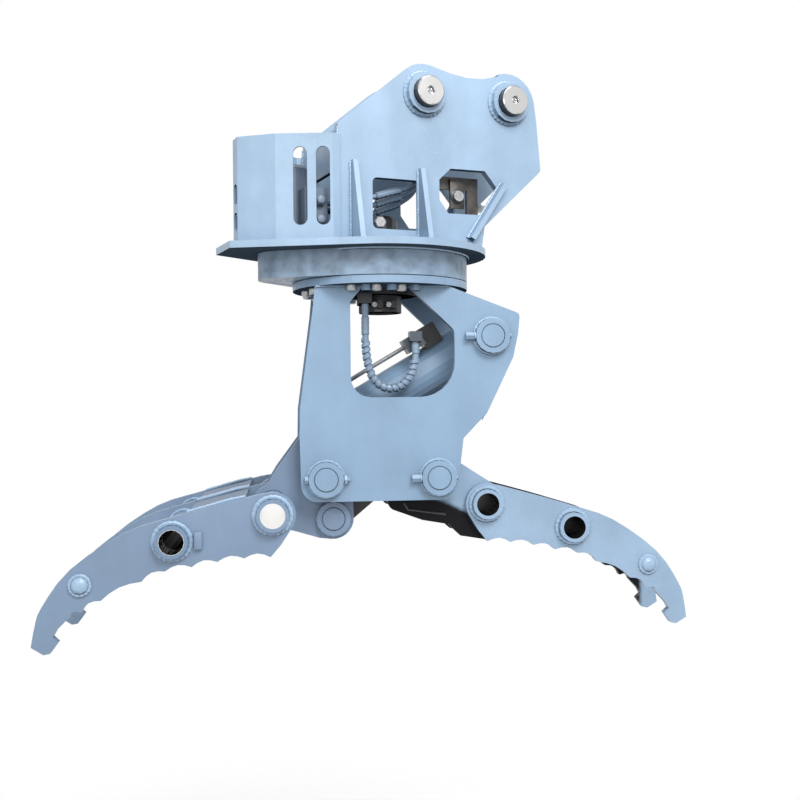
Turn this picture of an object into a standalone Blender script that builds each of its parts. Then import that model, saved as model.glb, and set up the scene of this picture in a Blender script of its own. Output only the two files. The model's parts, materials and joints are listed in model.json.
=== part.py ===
"""Log grapple: a rotating hydraulic log grab for an excavator.

Lengths below are millimetres and are turned into metres where a mesh is made. The design frame has its origin midway
between the two jaw pins, X along the jaws' swing, Y away from the viewer and Z up. The part's own origin is the centre
of the stick pin, from which the whole grab hangs.
"""
from math import acos, asin, atan2, ceil, cos, pi, radians, sin, tan

import bmesh
import bpy
from mathutils import Vector

MM = 0.001
GAP = 0.3              # clearance between pieces that touch
RUN = 0.6              # running clearance of the slewing bearing

# Slewing and hanging
REST_SLEW = radians(17.0)      # head turned to the lower body at rest
SLEW_X = 12.0                  # slewing axis, right of the middle of the jaw pins
STICK_PIN_X = 66.5             # stick pin, along the head from the slewing axis
PIN_SPACING = 224.0
HEAD_PIN_RISE = 359.0          # head pins above the base plate
HEAD_PIN_R = 35.0
HEAD_PIN_OUT = 22.0            # pin ends stand out past their bosses
HEAD_BOSS_R = 48.0
HEAD_BOSS_OUT = 18.0
HEAD_HALF = 125.0              # outer faces of the hanger plates
PLATE_T = 20.0

# Slewing drive
FLANGE_Z = 444.0               # underside of the slewing flange above the jaw pins
FLANGE_T = 17.0
DRUM_WALL = 8.0
DRUM_H = 61.0
GROOVE = 2.0                   # open joint between flange and drum
BASE_T = 16.0
BASE_LIP = 45.5                # base plate past the drum
BASE_TAIL_X = 388.5
BASE_TAIL_HALF = 63.0
GEAR_MODULE = 6.0
RING_TEETH = 62
PINION_TEETH = 14
ADDENDUM = 0.8
DEDENDUM = 1.1
PRESSURE_ANGLE = radians(20.0)
BACKLASH = 1.0
RING_H = 50.0
GEAR_RIM = 36.0                # ring gear between its pitch circle and the race
DRUM_ROOM = 25.5               # drum and flange past the ring gear's pitch circle
CUP_ROOM = 33.0                # cup past the pinion's pitch circle
CORE_R = 34.0                  # oil swivel core

# Motor guard, along the head from the slewing axis
GUARD_H = 245.0
GUARD_END_X = -354.5
GUARD_CORNER = (-284.5, 77.0)
GUARD_FOLD = (-167.5, 132.0)
SLOT_R = 16.0
MOTOR_R = 52.0
SWIVEL_RISE = 84.0             # top of the oil swivel above the base plate

# Lower body
BODY_HALF = 140.0              # outer faces of the body plates
JAW_X = 130.0                  # jaw pins, each side of the middle
PIN_R = 27.5
BOSS_R = 40.6
BOSS_OUT = 20.0
CYLINDER_PIN = Vector((258.7, 327.3))
BOLT_R = 6.0
BOLT_COUNT = 18

# Jaws, in lengths measured from their own pin, outwards and up
OPEN_ANGLE = radians(70.0)     # swing from open to closed
RIGHT_LEAD = radians(2.4)      # the right jaw hangs this much further closed
ARM_OUT = 90.0                 # outer faces of the arm plates
TINE_OUT = 319.0               # outer faces of the left jaw's outer tines
TUBE_1 = Vector((121.0, -61.0))
TUBE_2 = Vector((330.0, -111.0))
TIP_BAR = Vector((518.0, -197.0))
TUBE_R = 35.0
TUBE_BORE = 26.0
TUBE_END = 20.0
TIP_BAR_R = 21.0
LOBE_R = 49.0
HUB_R = 44.0
HUB_INNER_R = 38.0
COVER_T = 12.0

# Sync link and cylinder
LINK_PIN = Vector((-18.3, -94.4))      # on the left jaw
LINK_PIN_R = 27.0
FAR_PIN = Vector((-95.4, 10.9))        # on the right jaw
FAR_PIN_R = 15.0
LINK_HALF = 20.0
ROD_PIN = Vector((-13.6, 97.0))        # on the left jaw's horn
ROD_PIN_R = 20.0
ROD_EYE_HALF = 30.0
ROD_R = 27.5
BARREL_R = 57.0
BARREL_BORE = 45.0
BARREL_END = 372.0             # open end of the barrel, from the cylinder pin
BARREL_EYE_R = 42.0
BARREL_EYE_HALF = 60.0
BARREL_TURN = -0.01            # barrel's turn for each unit of jaw turn
ROD_TRAVEL = 93.0              # rod's travel for each radian of jaw turn
EYE_WALL = 11.5
HOSE_R = 10.5                  # cylinder hose in its spiral wrap
HEAD_HOSE_R = 6.5
HOSE_Y = 90.0                  # in front of the slewing axis
HOSE_TOP = 407.0
HOSE_ROUTE = [(-32, 407), (-32, 375), (-32, 330), (-29, 282), (-19, 241), (2, 216), (27, 208), (55, 217), (76, 243),
              (86, 280), (86, 317.7)]

BASE_Z = FLANGE_Z + FLANGE_T + GROOVE + DRUM_H + GAP
HEAD_Z = BASE_Z + BASE_T + GAP
PIN_Z = BASE_Z + BASE_T + HEAD_PIN_RISE
PITCH_R = GEAR_MODULE * RING_TEETH / 2
PINION_PITCH_R = GEAR_MODULE * PINION_TEETH / 2
PINION_X = -(PITCH_R + PINION_PITCH_R)
RACE_R = PITCH_R - GEAR_RIM
FLANGE_R = PITCH_R + DRUM_ROOM
BASE_R = FLANGE_R + BASE_LIP
CUP_R = PINION_PITCH_R + CUP_ROOM
GEAR_Z = FLANGE_Z + FLANGE_T + GAP
BODY_INNER = BODY_HALF - PLATE_T
ARM_INNER = ARM_OUT - PLATE_T
JAW_LEFT = Vector((-JAW_X, 0.0))
JAW_RIGHT = Vector((JAW_X, 0.0))
ORIGIN = Vector((SLEW_X + STICK_PIN_X * cos(REST_SLEW), STICK_PIN_X * sin(REST_SLEW), PIN_Z))

PAINT = ("grey_blue_paint", (0.30, 0.40, 0.52), 0.45, 0.0)
HOSE_PAINT = ("hose_rubber", (0.30, 0.40, 0.52), 0.55, 0.0)
DARK_PAINT = ("dark_paint", (0.03, 0.035, 0.045), 0.5, 0.0)
STEEL = ("bright_steel", (0.62, 0.60, 0.57), 0.28, 1.0)
MACHINED = ("machined_steel", (0.35, 0.35, 0.36), 0.45, 1.0)
CHROME = ("chrome", (0.75, 0.75, 0.76), 0.12, 1.0)


# Outlines

def turned(point, angle):
    """A point turned about the origin."""
    return Vector((cos(angle) * point[0] - sin(angle) * point[1], sin(angle) * point[0] + cos(angle) * point[1]))


def circle(centre, radius, count=16):
    """Points round a circle."""
    angles = (2 * pi * i / count for i in range(count))
    return [Vector((centre[0] + radius * cos(a), centre[1] + radius * sin(a))) for a in angles]


def bored(centre, radius, count=16):
    """Points round a bore whose flats lie at the radius, so that a round pin turns freely in it."""
    return circle(centre, radius / cos(pi / count), count)


def wrapped(*stops, step=radians(15)):
    """A closed outline drawn like a belt round stops (x, y, r), counter-clockwise.

    A stop with a positive radius lies inside the outline, one with a negative radius outside it, and one without a
    radius is a sharp corner.
    """
    stops = [(Vector(s[:2]), s[2] if len(s) > 2 else 0.0) for s in stops]
    count = len(stops)
    courses = []
    for i in range(count):
        (a, ra), (b, rb) = stops[i], stops[(i + 1) % count]
        span = b - a
        courses.append(atan2(span.y, span.x) + asin(max(-1.0, min(1.0, (ra - rb) / span.length))))
    points = []
    for i in range(count):
        centre, radius = stops[i]
        start, end = courses[i - 1], courses[i]
        turn = (end - start + pi) % (2 * pi) - pi
        if radius == 0.0:
            points.append(centre.copy())
            continue
        if radius > 0 and turn < -radians(60):
            turn += 2 * pi
        pieces = max(1, ceil(abs(turn) / step))
        for k in range(pieces + 1):
            course = start + turn * k / pieces
            points.append(centre + radius * Vector((sin(course), -cos(course))))
    return points


def smooth_through(points, pieces=3):
    """A smooth open line through points, with the given number of pieces in each span."""
    pts = [Vector(p) for p in points]
    pts = [2 * pts[0] - pts[1]] + pts + [2 * pts[-1] - pts[-2]]
    line = []
    for a, b, c, d in zip(pts, pts[1:], pts[2:], pts[3:]):
        for k in range(pieces):
            t = k / pieces
            line.append(0.5 * (2 * b + (c - a) * t + (2 * a - 5 * b + 4 * c - d) * t * t
                               + (3 * b - 3 * c + d - a) * t ** 3))
    return line + [pts[-2]]


def scalloped(tips, depth, pieces=4):
    """An edge from tooth tip to tooth tip, with a hollow of the given depth between each two."""
    edge = []
    for a, b in zip(tips, tips[1:]):
        a, b = Vector(a), Vector(b)
        along = b - a
        inward = Vector((-along.y, along.x)).normalized()
        for k in range(pieces):
            t = k / pieces
            edge.append(a + along * t + inward * depth * sin(pi * t))
    return edge + [Vector(tips[-1])]


def mirrored(points):
    """An outline turned over left to right, still counter-clockwise."""
    return [Vector((-p[0], p[1])) for p in reversed(points)]


# Solids

class Solid:
    """A closed mesh built from rings of points, walls between rings and caps across them."""

    def __init__(self, axis):
        self.bm = bmesh.new()
        self.axis = axis

    def ring(self, points, level):
        """One closed ring of vertices, at a level along the solid's axis."""
        if self.axis == "X":
            places = [(level, p[0], p[1]) for p in points]
        elif self.axis == "Y":
            places = [(p[0], level, p[1]) for p in points]
        else:
            places = [(p[0], p[1], level) for p in points]
        return [self.bm.verts.new(Vector(p) * MM) for p in places]

    def wall(self, low, high):
        """Faces between two rings with as many points."""
        for i in range(len(low)):
            j = (i + 1) % len(low)
            self.bm.faces.new((low[i], low[j], high[j], high[i]))

    def cap(self, *rings):
        """A flat face bounded by the first ring, with the other rings as its holes."""
        edges = []
        for ring in rings:
            for a, b in zip(ring, ring[1:] + ring[:1]):
                edge = self.bm.edges.get((a, b))
                edges.append(edge or self.bm.edges.new((a, b)))
        normal = {"X": (1, 0, 0), "Y": (0, 1, 0), "Z": (0, 0, 1)}[self.axis]
        bmesh.ops.triangle_fill(self.bm, use_beauty=True, edges=edges, normal=normal)

    def mesh(self, name):
        """The finished mesh, with its faces pointing out and its flat edges kept sharp."""
        bmesh.ops.recalc_face_normals(self.bm, faces=self.bm.faces)
        if self.bm.calc_volume(signed=True) < 0:
            bmesh.ops.reverse_faces(self.bm, faces=self.bm.faces)
        mesh = bpy.data.meshes.new(name)
        self.bm.to_mesh(mesh)
        self.bm.free()
        mesh.shade_smooth()
        mesh.set_sharp_from_angle(angle=radians(28))
        return mesh


def prism(name, outline, low, high, axis="Y", holes=()):
    """An outline with holes, carried from one level to another."""
    solid = Solid(axis)
    rings = [(solid.ring(o, low), solid.ring(o, high)) for o in (outline, *holes)]
    for bottom, top in rings:
        solid.wall(bottom, top)
    solid.cap(*(r[0] for r in rings))
    solid.cap(*(r[1] for r in rings))
    return solid.mesh(name)


def plate(name, outline, low, high, eyes, holes=(), axis="Y"):
    """A plate with eyes (centre, bore, low boss, high boss). A boss is (radius, level) or (radius, level, sides)."""
    solid = Solid(axis)
    bottom = [solid.ring(outline, low)]
    top = [solid.ring(outline, high)]
    solid.wall(bottom[0], top[0])
    for hole in holes:
        bottom.append(solid.ring(hole, low))
        top.append(solid.ring(hole, high))
        solid.wall(bottom[-1], top[-1])
    for centre, bore, low_boss, high_boss in eyes:
        ends = []
        for level, boss, face in ((low, low_boss, bottom), (high, high_boss, top)):
            if boss is None:
                rim = solid.ring(bored(centre, bore), level) if bore else None
                if rim:
                    face.append(rim)
                ends.append(rim)
                continue
            rim_of = circle(centre, boss[0], *boss[2:])
            root = solid.ring(rim_of, level)
            crown = solid.ring(rim_of, boss[1])
            face.append(root)
            solid.wall(root, crown)
            rim = solid.ring(bored(centre, bore), boss[1]) if bore else None
            solid.cap(*([crown, rim] if rim else [crown]))
            ends.append(rim)
        if bore:
            solid.wall(*ends)
    solid.cap(*bottom)
    solid.cap(*top)
    return solid.mesh(name)


def lathe(name, profile, axis="Z", count=16, closed=True):
    """A profile of (radius, level) pairs turned about the axis. A closed profile leaves a bore."""
    solid = Solid(axis)
    rings = [solid.ring(circle((0.0, 0.0), radius, count), level) for radius, level in profile]
    for low, high in zip(rings, rings[1:]):
        solid.wall(low, high)
    if closed:
        solid.wall(rings[-1], rings[0])
    else:
        solid.cap(rings[0])
        solid.cap(rings[-1])
    return solid.mesh(name)


def rod_mesh(name, radius, low, high, axis="Y", count=16, chamfer=0.0):
    """A plain round bar, chamfered at both ends."""
    if not chamfer:
        return lathe(name, [(radius, low), (radius, high)], axis, count, closed=False)
    profile = [(radius - chamfer, low), (radius, low + chamfer), (radius, high - chamfer), (radius - chamfer, high)]
    return lathe(name, profile, axis, count, closed=False)


def hole_mesh(name, radius, low, high, axis="Y", count=16):
    """A round cutter whose flats lie at the radius."""
    return rod_mesh(name, radius / cos(pi / count), low, high, axis, count)


# Scene

materials = {}
bolt_holes = {}


def material(look):
    """The Principled material of a look, made once."""
    name, colour, roughness, metallic = look
    if name not in materials:
        made = bpy.data.materials.new(name)
        made.use_nodes = True
        shader = made.node_tree.nodes["Principled BSDF"]
        shader.inputs["Base Color"].default_value = (*colour, 1.0)
        shader.inputs["Roughness"].default_value = roughness
        shader.inputs["Metallic"].default_value = metallic
        made.diffuse_color = (*colour, 1.0)
        materials[name] = made
    return materials[name]


def empty(name, place, parent=None, turn=(0.0, 0.0, 0.0)):
    """An empty that carries one moving body."""
    made = bpy.data.objects.new(name, None)
    bpy.context.collection.objects.link(made)
    made.parent = parent
    made.location = Vector(place) * MM
    made.rotation_euler = turn
    return made


def put(mesh, look, parent, place=(0.0, 0.0, 0.0), turn=(0.0, 0.0, 0.0)):
    """The object of a mesh, under the empty of its body."""
    made = bpy.data.objects.new(mesh.name, mesh)
    bpy.context.collection.objects.link(made)
    mesh.materials.append(material(look))
    made.parent = parent
    made.location = Vector(place) * MM
    made.rotation_euler = turn
    return made


def boolean(target, cutter, operation):
    """A cutter or an added solid, kept out of the result."""
    cutter.hide_render = True
    cutter.display_type = "WIRE"
    modifier = target.modifiers.new(operation.lower(), "BOOLEAN")
    modifier.object = cutter
    modifier.operation = operation
    modifier.solver = "EXACT"


def joined(target, mesh, parent, operation="UNION", place=(0.0, 0.0, 0.0), turn=(0.0, 0.0, 0.0)):
    """A mesh added to, or cut from, an object of the same body."""
    cutter = bpy.data.objects.new(mesh.name, mesh)
    bpy.context.collection.objects.link(cutter)
    mesh.materials.append(target.data.materials[0])
    cutter.parent = parent
    cutter.location = Vector(place) * MM
    cutter.rotation_euler = turn
    boolean(target, cutter, operation)
    return cutter


def tube_curve(name, points, radius, look, parent, resolution=2):
    """A round tube along points."""
    curve = bpy.data.curves.new(name, "CURVE")
    curve.dimensions = "3D"
    curve.bevel_depth = radius * MM
    curve.bevel_resolution = resolution
    curve.use_fill_caps = True
    spline = curve.splines.new("POLY")
    spline.points.add(len(points) - 1)
    for target, point in zip(spline.points, points):
        target.co = (*(Vector(point) * MM), 1.0)
    curve.materials.append(material(look))
    made = bpy.data.objects.new(name, curve)
    bpy.context.collection.objects.link(made)
    made.parent = parent
    return made


# Mechanism

def link_fit():
    """The far eye's centre from the link pin, and how far the far pin strays from it over the whole swing."""
    path = []
    for i in range(41):
        angle = OPEN_ANGLE * i / 40
        near = JAW_LEFT + turned((-LINK_PIN.x, LINK_PIN.y), angle)
        far = JAW_RIGHT + turned(FAR_PIN, -angle)
        path.append(far - near)
    return centre_of(path)


def centre_of(path):
    """The middle of a path, and the furthest that the path lies from it."""
    middle = Vector((
        (max(p.x for p in path) + min(p.x for p in path)) / 2,
        (max(p.y for p in path) + min(p.y for p in path)) / 2,
    ))
    return middle, max((p - middle).length for p in path)


def cylinder_fit():
    """The rod eye's centre from the cylinder pin at rest, and how far the rod pin strays from it."""
    pin = Vector((-ROD_PIN.x, ROD_PIN.y))
    middle = JAW_LEFT + pin - CYLINDER_PIN
    for _ in range(6):
        along = middle.normalized()
        path = []
        for i in range(41):
            angle = OPEN_ANGLE * i / 40
            place = JAW_LEFT + turned(pin, angle) - CYLINDER_PIN
            path.append(turned(place, -BARREL_TURN * angle) - along * ROD_TRAVEL * angle)
        middle, stray = centre_of(path)
    return middle, stray


LINK_SPAN, LINK_STRAY = link_fit()
ROD_SPAN, ROD_STRAY = cylinder_fit()
FAR_BORE = FAR_PIN_R + LINK_STRAY + GAP
ROD_BORE = ROD_PIN_R + ROD_STRAY + GAP


# Bodies, each an empty on its joint's axis

for old in list(bpy.data.objects):
    bpy.data.objects.remove(old, do_unlink=True)

slew_place = Vector((SLEW_X, 0.0, 0.0)) - ORIGIN
head = empty("head_turn", slew_place, turn=(0.0, 0.0, REST_SLEW))
pinion_shaft = empty("pinion_shaft", (PINION_X, 0.0, 0.0), head)
lower = empty("lower_body_turn", slew_place)
left_hinge = empty("left_hinge", (-JAW_X - SLEW_X, 0.0, 0.0), lower)
right_hinge = empty("right_hinge", (JAW_X - SLEW_X, 0.0, 0.0), lower)
link_hinge = empty("link_hinge", (-LINK_PIN.x, 0.0, LINK_PIN.y), left_hinge)
CYLINDER_TILT = atan2(-ROD_SPAN.y, -ROD_SPAN.x)
cylinder_hinge = empty(
    "cylinder_hinge",
    (CYLINDER_PIN.x - SLEW_X, 0.0, CYLINDER_PIN.y),
    lower,
    turn=(0.0, -CYLINDER_TILT, 0.0),
)
BODY_PLACE = (-SLEW_X, 0.0, 0.0)


# Head

def hanger_outline():
    """Side plate with a lobe round each pin and a cut-back lower corner."""
    first = (STICK_PIN_X, PIN_Z)
    second = (STICK_PIN_X + PIN_SPACING, PIN_Z)
    saddle_r = PIN_SPACING
    return wrapped(
        (-154.5, HEAD_Z),
        (second[0] - 76.0, HEAD_Z),
        (second[0] - 67.0, HEAD_Z + 56.0),
        (second[0] + 76.0, HEAD_Z + 207.0, 14.0),
        (second[0] + 80.0, PIN_Z - 37.0),
        (second[0], second[1], 74.0),
        ((first[0] + second[0]) / 2 + 10.0, PIN_Z + 51.0 + saddle_r, -saddle_r),
        (first[0], first[1], 72.0),
        (-151.5, HEAD_Z + 272.0),
    )


def hanger_windows():
    """The square window on the left and the eight-sided one on the right."""
    left = wrapped(*((x, z, 12.0) for x, z in (
        (-55.5, HEAD_Z + 48.0), (39.5, HEAD_Z + 48.0), (39.5, HEAD_Z + 142.0), (-55.5, HEAD_Z + 142.0))))
    right = [Vector((x, HEAD_Z + z)) for x, z in (
        (126.5, 82.0), (223.5, 83.0), (254.5, 111.0), (260.5, 148.0),
        (225.5, 190.0), (133.5, 189.0), (103.5, 161.0), (103.5, 113.0))]
    return left, right


def gusset(name, x, rise, side):
    """A three-cornered gusset that stands on the base plate against a hanger plate."""
    face = side * (HEAD_HALF - 1.0)
    corners = [(face, HEAD_Z), (side * (HEAD_HALF + 60.0), HEAD_Z), (side * (HEAD_HALF + 15.0), HEAD_Z + rise),
               (face, HEAD_Z + rise)]
    if side < 0:
        corners.reverse()
    return prism(name, [Vector(c) for c in corners], x - 6.0, x + 6.0, axis="X")


def slanted_rib(name, side):
    """The rib along the cut-back corner of a hanger plate."""
    low, high = sorted((side * (HEAD_HALF - 1.0), side * (HEAD_HALF + 22.0)))
    foot = Vector((182.0, HEAD_Z + 22.0))
    tip = Vector((273.0, HEAD_Z + 160.0))
    across = Vector((-(tip - foot).y, (tip - foot).x)).normalized() * 6.0
    return prism(name, [foot - across, tip - across, tip + across, foot + across], low, high)


def build_hanger(side):
    """One hanger plate with its bosses, windows, gussets and rib."""
    name = "hanger_plate_front" if side < 0 else "hanger_plate_rear"
    low, high = sorted((side * HEAD_HALF, side * (HEAD_HALF - PLATE_T)))
    boss = (HEAD_BOSS_R, side * (HEAD_HALF + HEAD_BOSS_OUT))
    eyes = []
    for x in (STICK_PIN_X, STICK_PIN_X + PIN_SPACING):
        bosses = (boss, None) if side < 0 else (None, boss)
        eyes.append(((x, PIN_Z), HEAD_PIN_R + GAP, *bosses))
    made = put(plate(name, hanger_outline(), low, high, eyes, hanger_windows()), PAINT, head)
    for label, x, rise in (("left", -114.5, 188.0), ("right", 54.5, 181.0)):
        joined(made, gusset(f"{name}_gusset_{label}", x, rise, side), head)
    joined(made, slanted_rib(f"{name}_rib", side), head)


def build_head_pins():
    """The stick pin and the bucket-link pin, with a centre hole in each end."""
    end = HEAD_HALF + HEAD_BOSS_OUT + HEAD_PIN_OUT
    profile = [(7.0, 8.0 - end), (10.0, -end), (HEAD_PIN_R - 3.0, -end), (HEAD_PIN_R, 3.0 - end)]
    profile += [(r, -z) for r, z in reversed(profile)]
    for name, x in (("stick_pin", STICK_PIN_X), ("bucket_link_pin", STICK_PIN_X + PIN_SPACING)):
        put(lathe(name, profile, "Y", closed=False), STEEL, head, (x, 0.0, PIN_Z))


def build_base():
    """Base plate: round over the bearing, tapered to the tail, bored for the swivel and the motor."""
    outline = wrapped(
        (0.0, 0.0, BASE_R),
        (-BASE_TAIL_X, BASE_TAIL_HALF),
        (-BASE_TAIL_X, -BASE_TAIL_HALF),
        step=radians(6),
    )
    eyes = [((0.0, 0.0), CORE_R + GAP, None, None), ((PINION_X, 0.0), 50.0, None, None)]
    put(plate("base_plate", outline, BASE_Z, BASE_Z + BASE_T, eyes, axis="Z"), PAINT, head)


def build_cross_plate():
    """Plate between the hanger plates at their left edge, cut out below for the hoses."""
    half = HEAD_HALF - PLATE_T - GAP
    leg = 8.0
    outline = [(-half, HEAD_Z), (leg - half, HEAD_Z), (leg - half, HEAD_Z + 170.0), (half - leg, HEAD_Z + 170.0),
               (half - leg, HEAD_Z), (half, HEAD_Z), (half, HEAD_Z + 262.0), (-half, HEAD_Z + 262.0)]
    put(prism("head_cross_plate", [Vector(p) for p in outline], -150.0, -138.0, axis="X"), PAINT, head)


def build_guard():
    """Folded sheet guard round the motor, with slots in its long faces and holes in its end."""
    sheet = 6.0
    top = HEAD_Z + GUARD_H
    side_line = [Vector(p) for p in ((-150.0, 128.6), GUARD_FOLD, GUARD_CORNER, (GUARD_END_X, 18.0))]
    middle = [Vector((p.x, -p.y)) for p in side_line] + list(reversed(side_line))
    inner, outer = [], []
    for i, p in enumerate(middle):
        before = (p - middle[i - 1]).normalized() if i else (middle[1] - p).normalized()
        after = (middle[i + 1] - p).normalized() if i + 1 < len(middle) else before
        normal = Vector((-(before + after).y, (before + after).x)).normalized()
        reach = sheet / 2 / normal.dot(Vector((-before.y, before.x)))
        inner.append(p - normal * reach)
        outer.append(p + normal * reach)
    guard = put(prism("motor_guard", inner + outer[::-1], HEAD_Z, top, axis="Z"), PAINT, head)
    for side in (-1, 1):
        start, end = (Vector((p[0], p[1] * side)) for p in (GUARD_CORNER, GUARD_FOLD))
        along = (end - start).normalized()
        turn = atan2(along.y, along.x)
        for number, distance in enumerate((56.0, 108.0)):
            centre = start + along * distance
            slot = wrapped((0.0, HEAD_Z + 53.0, SLOT_R), (0.0, top - 46.0, SLOT_R), step=radians(22.5))
            cut = prism(f"slot_{side}_{number}".replace("-1", "front"), slot, -12.0, 12.0)
            joined(guard, cut, head, "DIFFERENCE", (centre.x, centre.y, 0.0), (0.0, 0.0, turn))
    for number, (rise, half) in enumerate(((52.0, 9.0), (114.0, 12.0))):
        hole = wrapped((0.0, HEAD_Z + rise - half, 14.0), (0.0, HEAD_Z + rise + half, 14.0), step=radians(22.5))
        joined(guard, prism(f"end_hole_{number}", hole, -12.0, 12.0, axis="X"), head, "DIFFERENCE", (GUARD_END_X, 0.0, 0.0))


def build_motor():
    """Slewing motor on the base plate, bored for the pinion's shaft, and the port block on its side."""
    bore = (15.0 + GAP) / cos(pi / 16)
    profile = [
        (bore, HEAD_Z + 42.0), (bore, BASE_Z + 2.0), (50.0 - GAP, BASE_Z + 2.0), (50.0 - GAP, HEAD_Z), (68.0, HEAD_Z),
        (68.0, HEAD_Z + 16.0), (MOTOR_R, HEAD_Z + 18.0), (MOTOR_R, HEAD_Z + 180.0), (MOTOR_R - 8.0, HEAD_Z + 188.0),
    ]
    put(lathe("slew_motor", profile, closed=False), DARK_PAINT, head, (PINION_X, 0.0, 0.0))
    corners = [Vector(p) for p in ((-222.0, -98.0), (-168.0, -98.0), (-168.0, -24.0), (-222.0, -24.0))]
    block = put(prism("motor_port_block", corners, HEAD_Z + 38.0, HEAD_Z + 126.0, axis="Z"), DARK_PAINT, head)
    cut = hole_mesh("motor_seat", MOTOR_R + GAP, HEAD_Z + 20.0, HEAD_Z + 150.0, "Z")
    joined(block, cut, head, "DIFFERENCE", (PINION_X, 0.0, 0.0))


def build_gear_housing():
    """Drum over the ring gear with a cup for the pinion, floored round the gear."""
    bottom = FLANGE_Z + FLANGE_T + GROOVE
    top = BASE_Z - GAP
    floor = bottom + 5.0
    solid = Solid("Z")
    outside = wrapped((0.0, 0.0, FLANGE_R), (PINION_X, 0.0, CUP_R), step=radians(7.5))
    inside = wrapped((0.0, 0.0, FLANGE_R - DRUM_WALL), (PINION_X, 0.0, CUP_R - DRUM_WALL), step=radians(7.5))
    mouth = bored((0.0, 0.0), PITCH_R + GEAR_MODULE * ADDENDUM + 3.0, 48)
    outer_low, outer_high = solid.ring(outside, bottom), solid.ring(outside, top)
    mouth_low, mouth_high = solid.ring(mouth, bottom), solid.ring(mouth, floor)
    inner_low, inner_high = solid.ring(inside, floor), solid.ring(inside, top)
    solid.wall(outer_low, outer_high)
    solid.wall(mouth_low, mouth_high)
    solid.wall(inner_low, inner_high)
    solid.cap(outer_low, mouth_low)
    solid.cap(inner_low, mouth_high)
    solid.cap(outer_high, inner_high)
    put(solid.mesh("gear_housing"), PAINT, head)


def gear_outline(teeth, phase, flank=2):
    """Outline of a spur gear with involute flanks; phase is the direction of one tooth's middle."""
    pitch_r = GEAR_MODULE * teeth / 2
    base_r = pitch_r * cos(PRESSURE_ANGLE)
    root_r = pitch_r - GEAR_MODULE * DEDENDUM
    tip_r = pitch_r + GEAR_MODULE * ADDENDUM
    half_at_pitch = (pi * GEAR_MODULE - BACKLASH) / 4 / pitch_r

    def involute(radius):
        angle = acos(min(1.0, base_r / radius))
        return tan(angle) - angle

    def half_width(radius):
        return half_at_pitch + involute(pitch_r) - involute(max(radius, base_r))

    start_r = max(root_r, base_r)
    side = [(root_r, half_width(start_r))] if root_r < base_r else []
    side += [(start_r + (tip_r - start_r) * k / flank, None) for k in range(flank + 1)]
    outline = []
    for i in range(teeth):
        middle = phase + 2 * pi * i / teeth
        for radius, half in side:
            outline.append(turned((radius, 0.0), middle - (half or half_width(radius))))
        for radius, half in reversed(side):
            outline.append(turned((radius, 0.0), middle + (half or half_width(radius))))
    return outline


def build_slewing():
    """Bearing inner ring and swivel core of the head, and the pinion under the motor."""
    inner = [(RACE_R - 40.0, GEAR_Z + 6.0), (RACE_R - RUN, GEAR_Z + 6.0), (RACE_R - RUN, BASE_Z - GAP),
             (RACE_R - 40.0, BASE_Z - GAP)]
    put(lathe("bearing_inner_ring", inner, count=48), MACHINED, head)
    core = [(CORE_R, FLANGE_Z - 47.0), (CORE_R, HEAD_Z), (56.0, HEAD_Z), (56.0, HEAD_Z + 12.0),
            (44.0, HEAD_Z + 12.0), (44.0, HEAD_Z + SWIVEL_RISE - 10.0), (34.0, HEAD_Z + SWIVEL_RISE)]
    put(lathe("swivel_core", core, closed=False), DARK_PAINT, head)
    low = FLANGE_Z + FLANGE_T + GROOVE + 6.0
    shaft = (15.0, HEAD_Z + 40.0)
    pinion = plate("pinion", gear_outline(PINION_TEETH, 0.0, 2), low, GEAR_Z + RING_H,
                   [((0.0, 0.0), None, None, shaft)], axis="Z")
    put(pinion, MACHINED, pinion_shaft)


def build_head_hoses():
    """Three hoses from the motor's port block, rising through the left windows to a bulkhead plate."""
    half = HEAD_HALF - PLATE_T - GAP
    shelf = HEAD_Z + 235.0
    outline = [Vector(p) for p in ((60.0, -half), (130.0, -half), (130.0, half), (60.0, half))]
    put(prism("hose_bulkhead", outline, shelf, shelf + 10.0, axis="Z"), PAINT, head)
    for number, (y, low, high) in enumerate(((-84.0, 104.0, 146.0), (-60.0, 86.0, 132.0), (-36.0, 68.0, 118.0)), 1):
        turn_in = max(low - 10.0, 84.0)
        route = [
            Vector((-168.0 + GAP, y, HEAD_Z + turn_in)),
            Vector((-150.0, y, HEAD_Z + turn_in)),
            Vector((-132.0, y, HEAD_Z + turn_in)),
            Vector((-66.0, y, HEAD_Z + low + 8.0)),
            Vector((-10.0, y, HEAD_Z + (low + high) / 2 + 4.0)),
            Vector((41.0, y, HEAD_Z + high)),
            Vector((78.0, y, HEAD_Z + high + 32.0)),
            Vector((93.0, y, shelf - 32.0)),
            Vector((93.0, y, shelf - 16.0)),
            Vector((93.0, y, shelf - GAP)),
        ]
        tube_curve(f"head_hose_{number}", smooth_through(route), HEAD_HOSE_R, HOSE_PAINT, head)


def build_hose_guide():
    """Upright guide behind the right windows, bent over to the left at its top."""
    outline = [Vector((x, HEAD_Z + z)) for x, z in (
        (204.0, 0.0), (234.0, 0.0), (234.0, 182.0), (100.0, 182.0), (100.0, 152.0), (204.0, 152.0))]
    put(prism("hose_guide", outline, -70.0, -60.0), PAINT, head)


# Lower body

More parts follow.
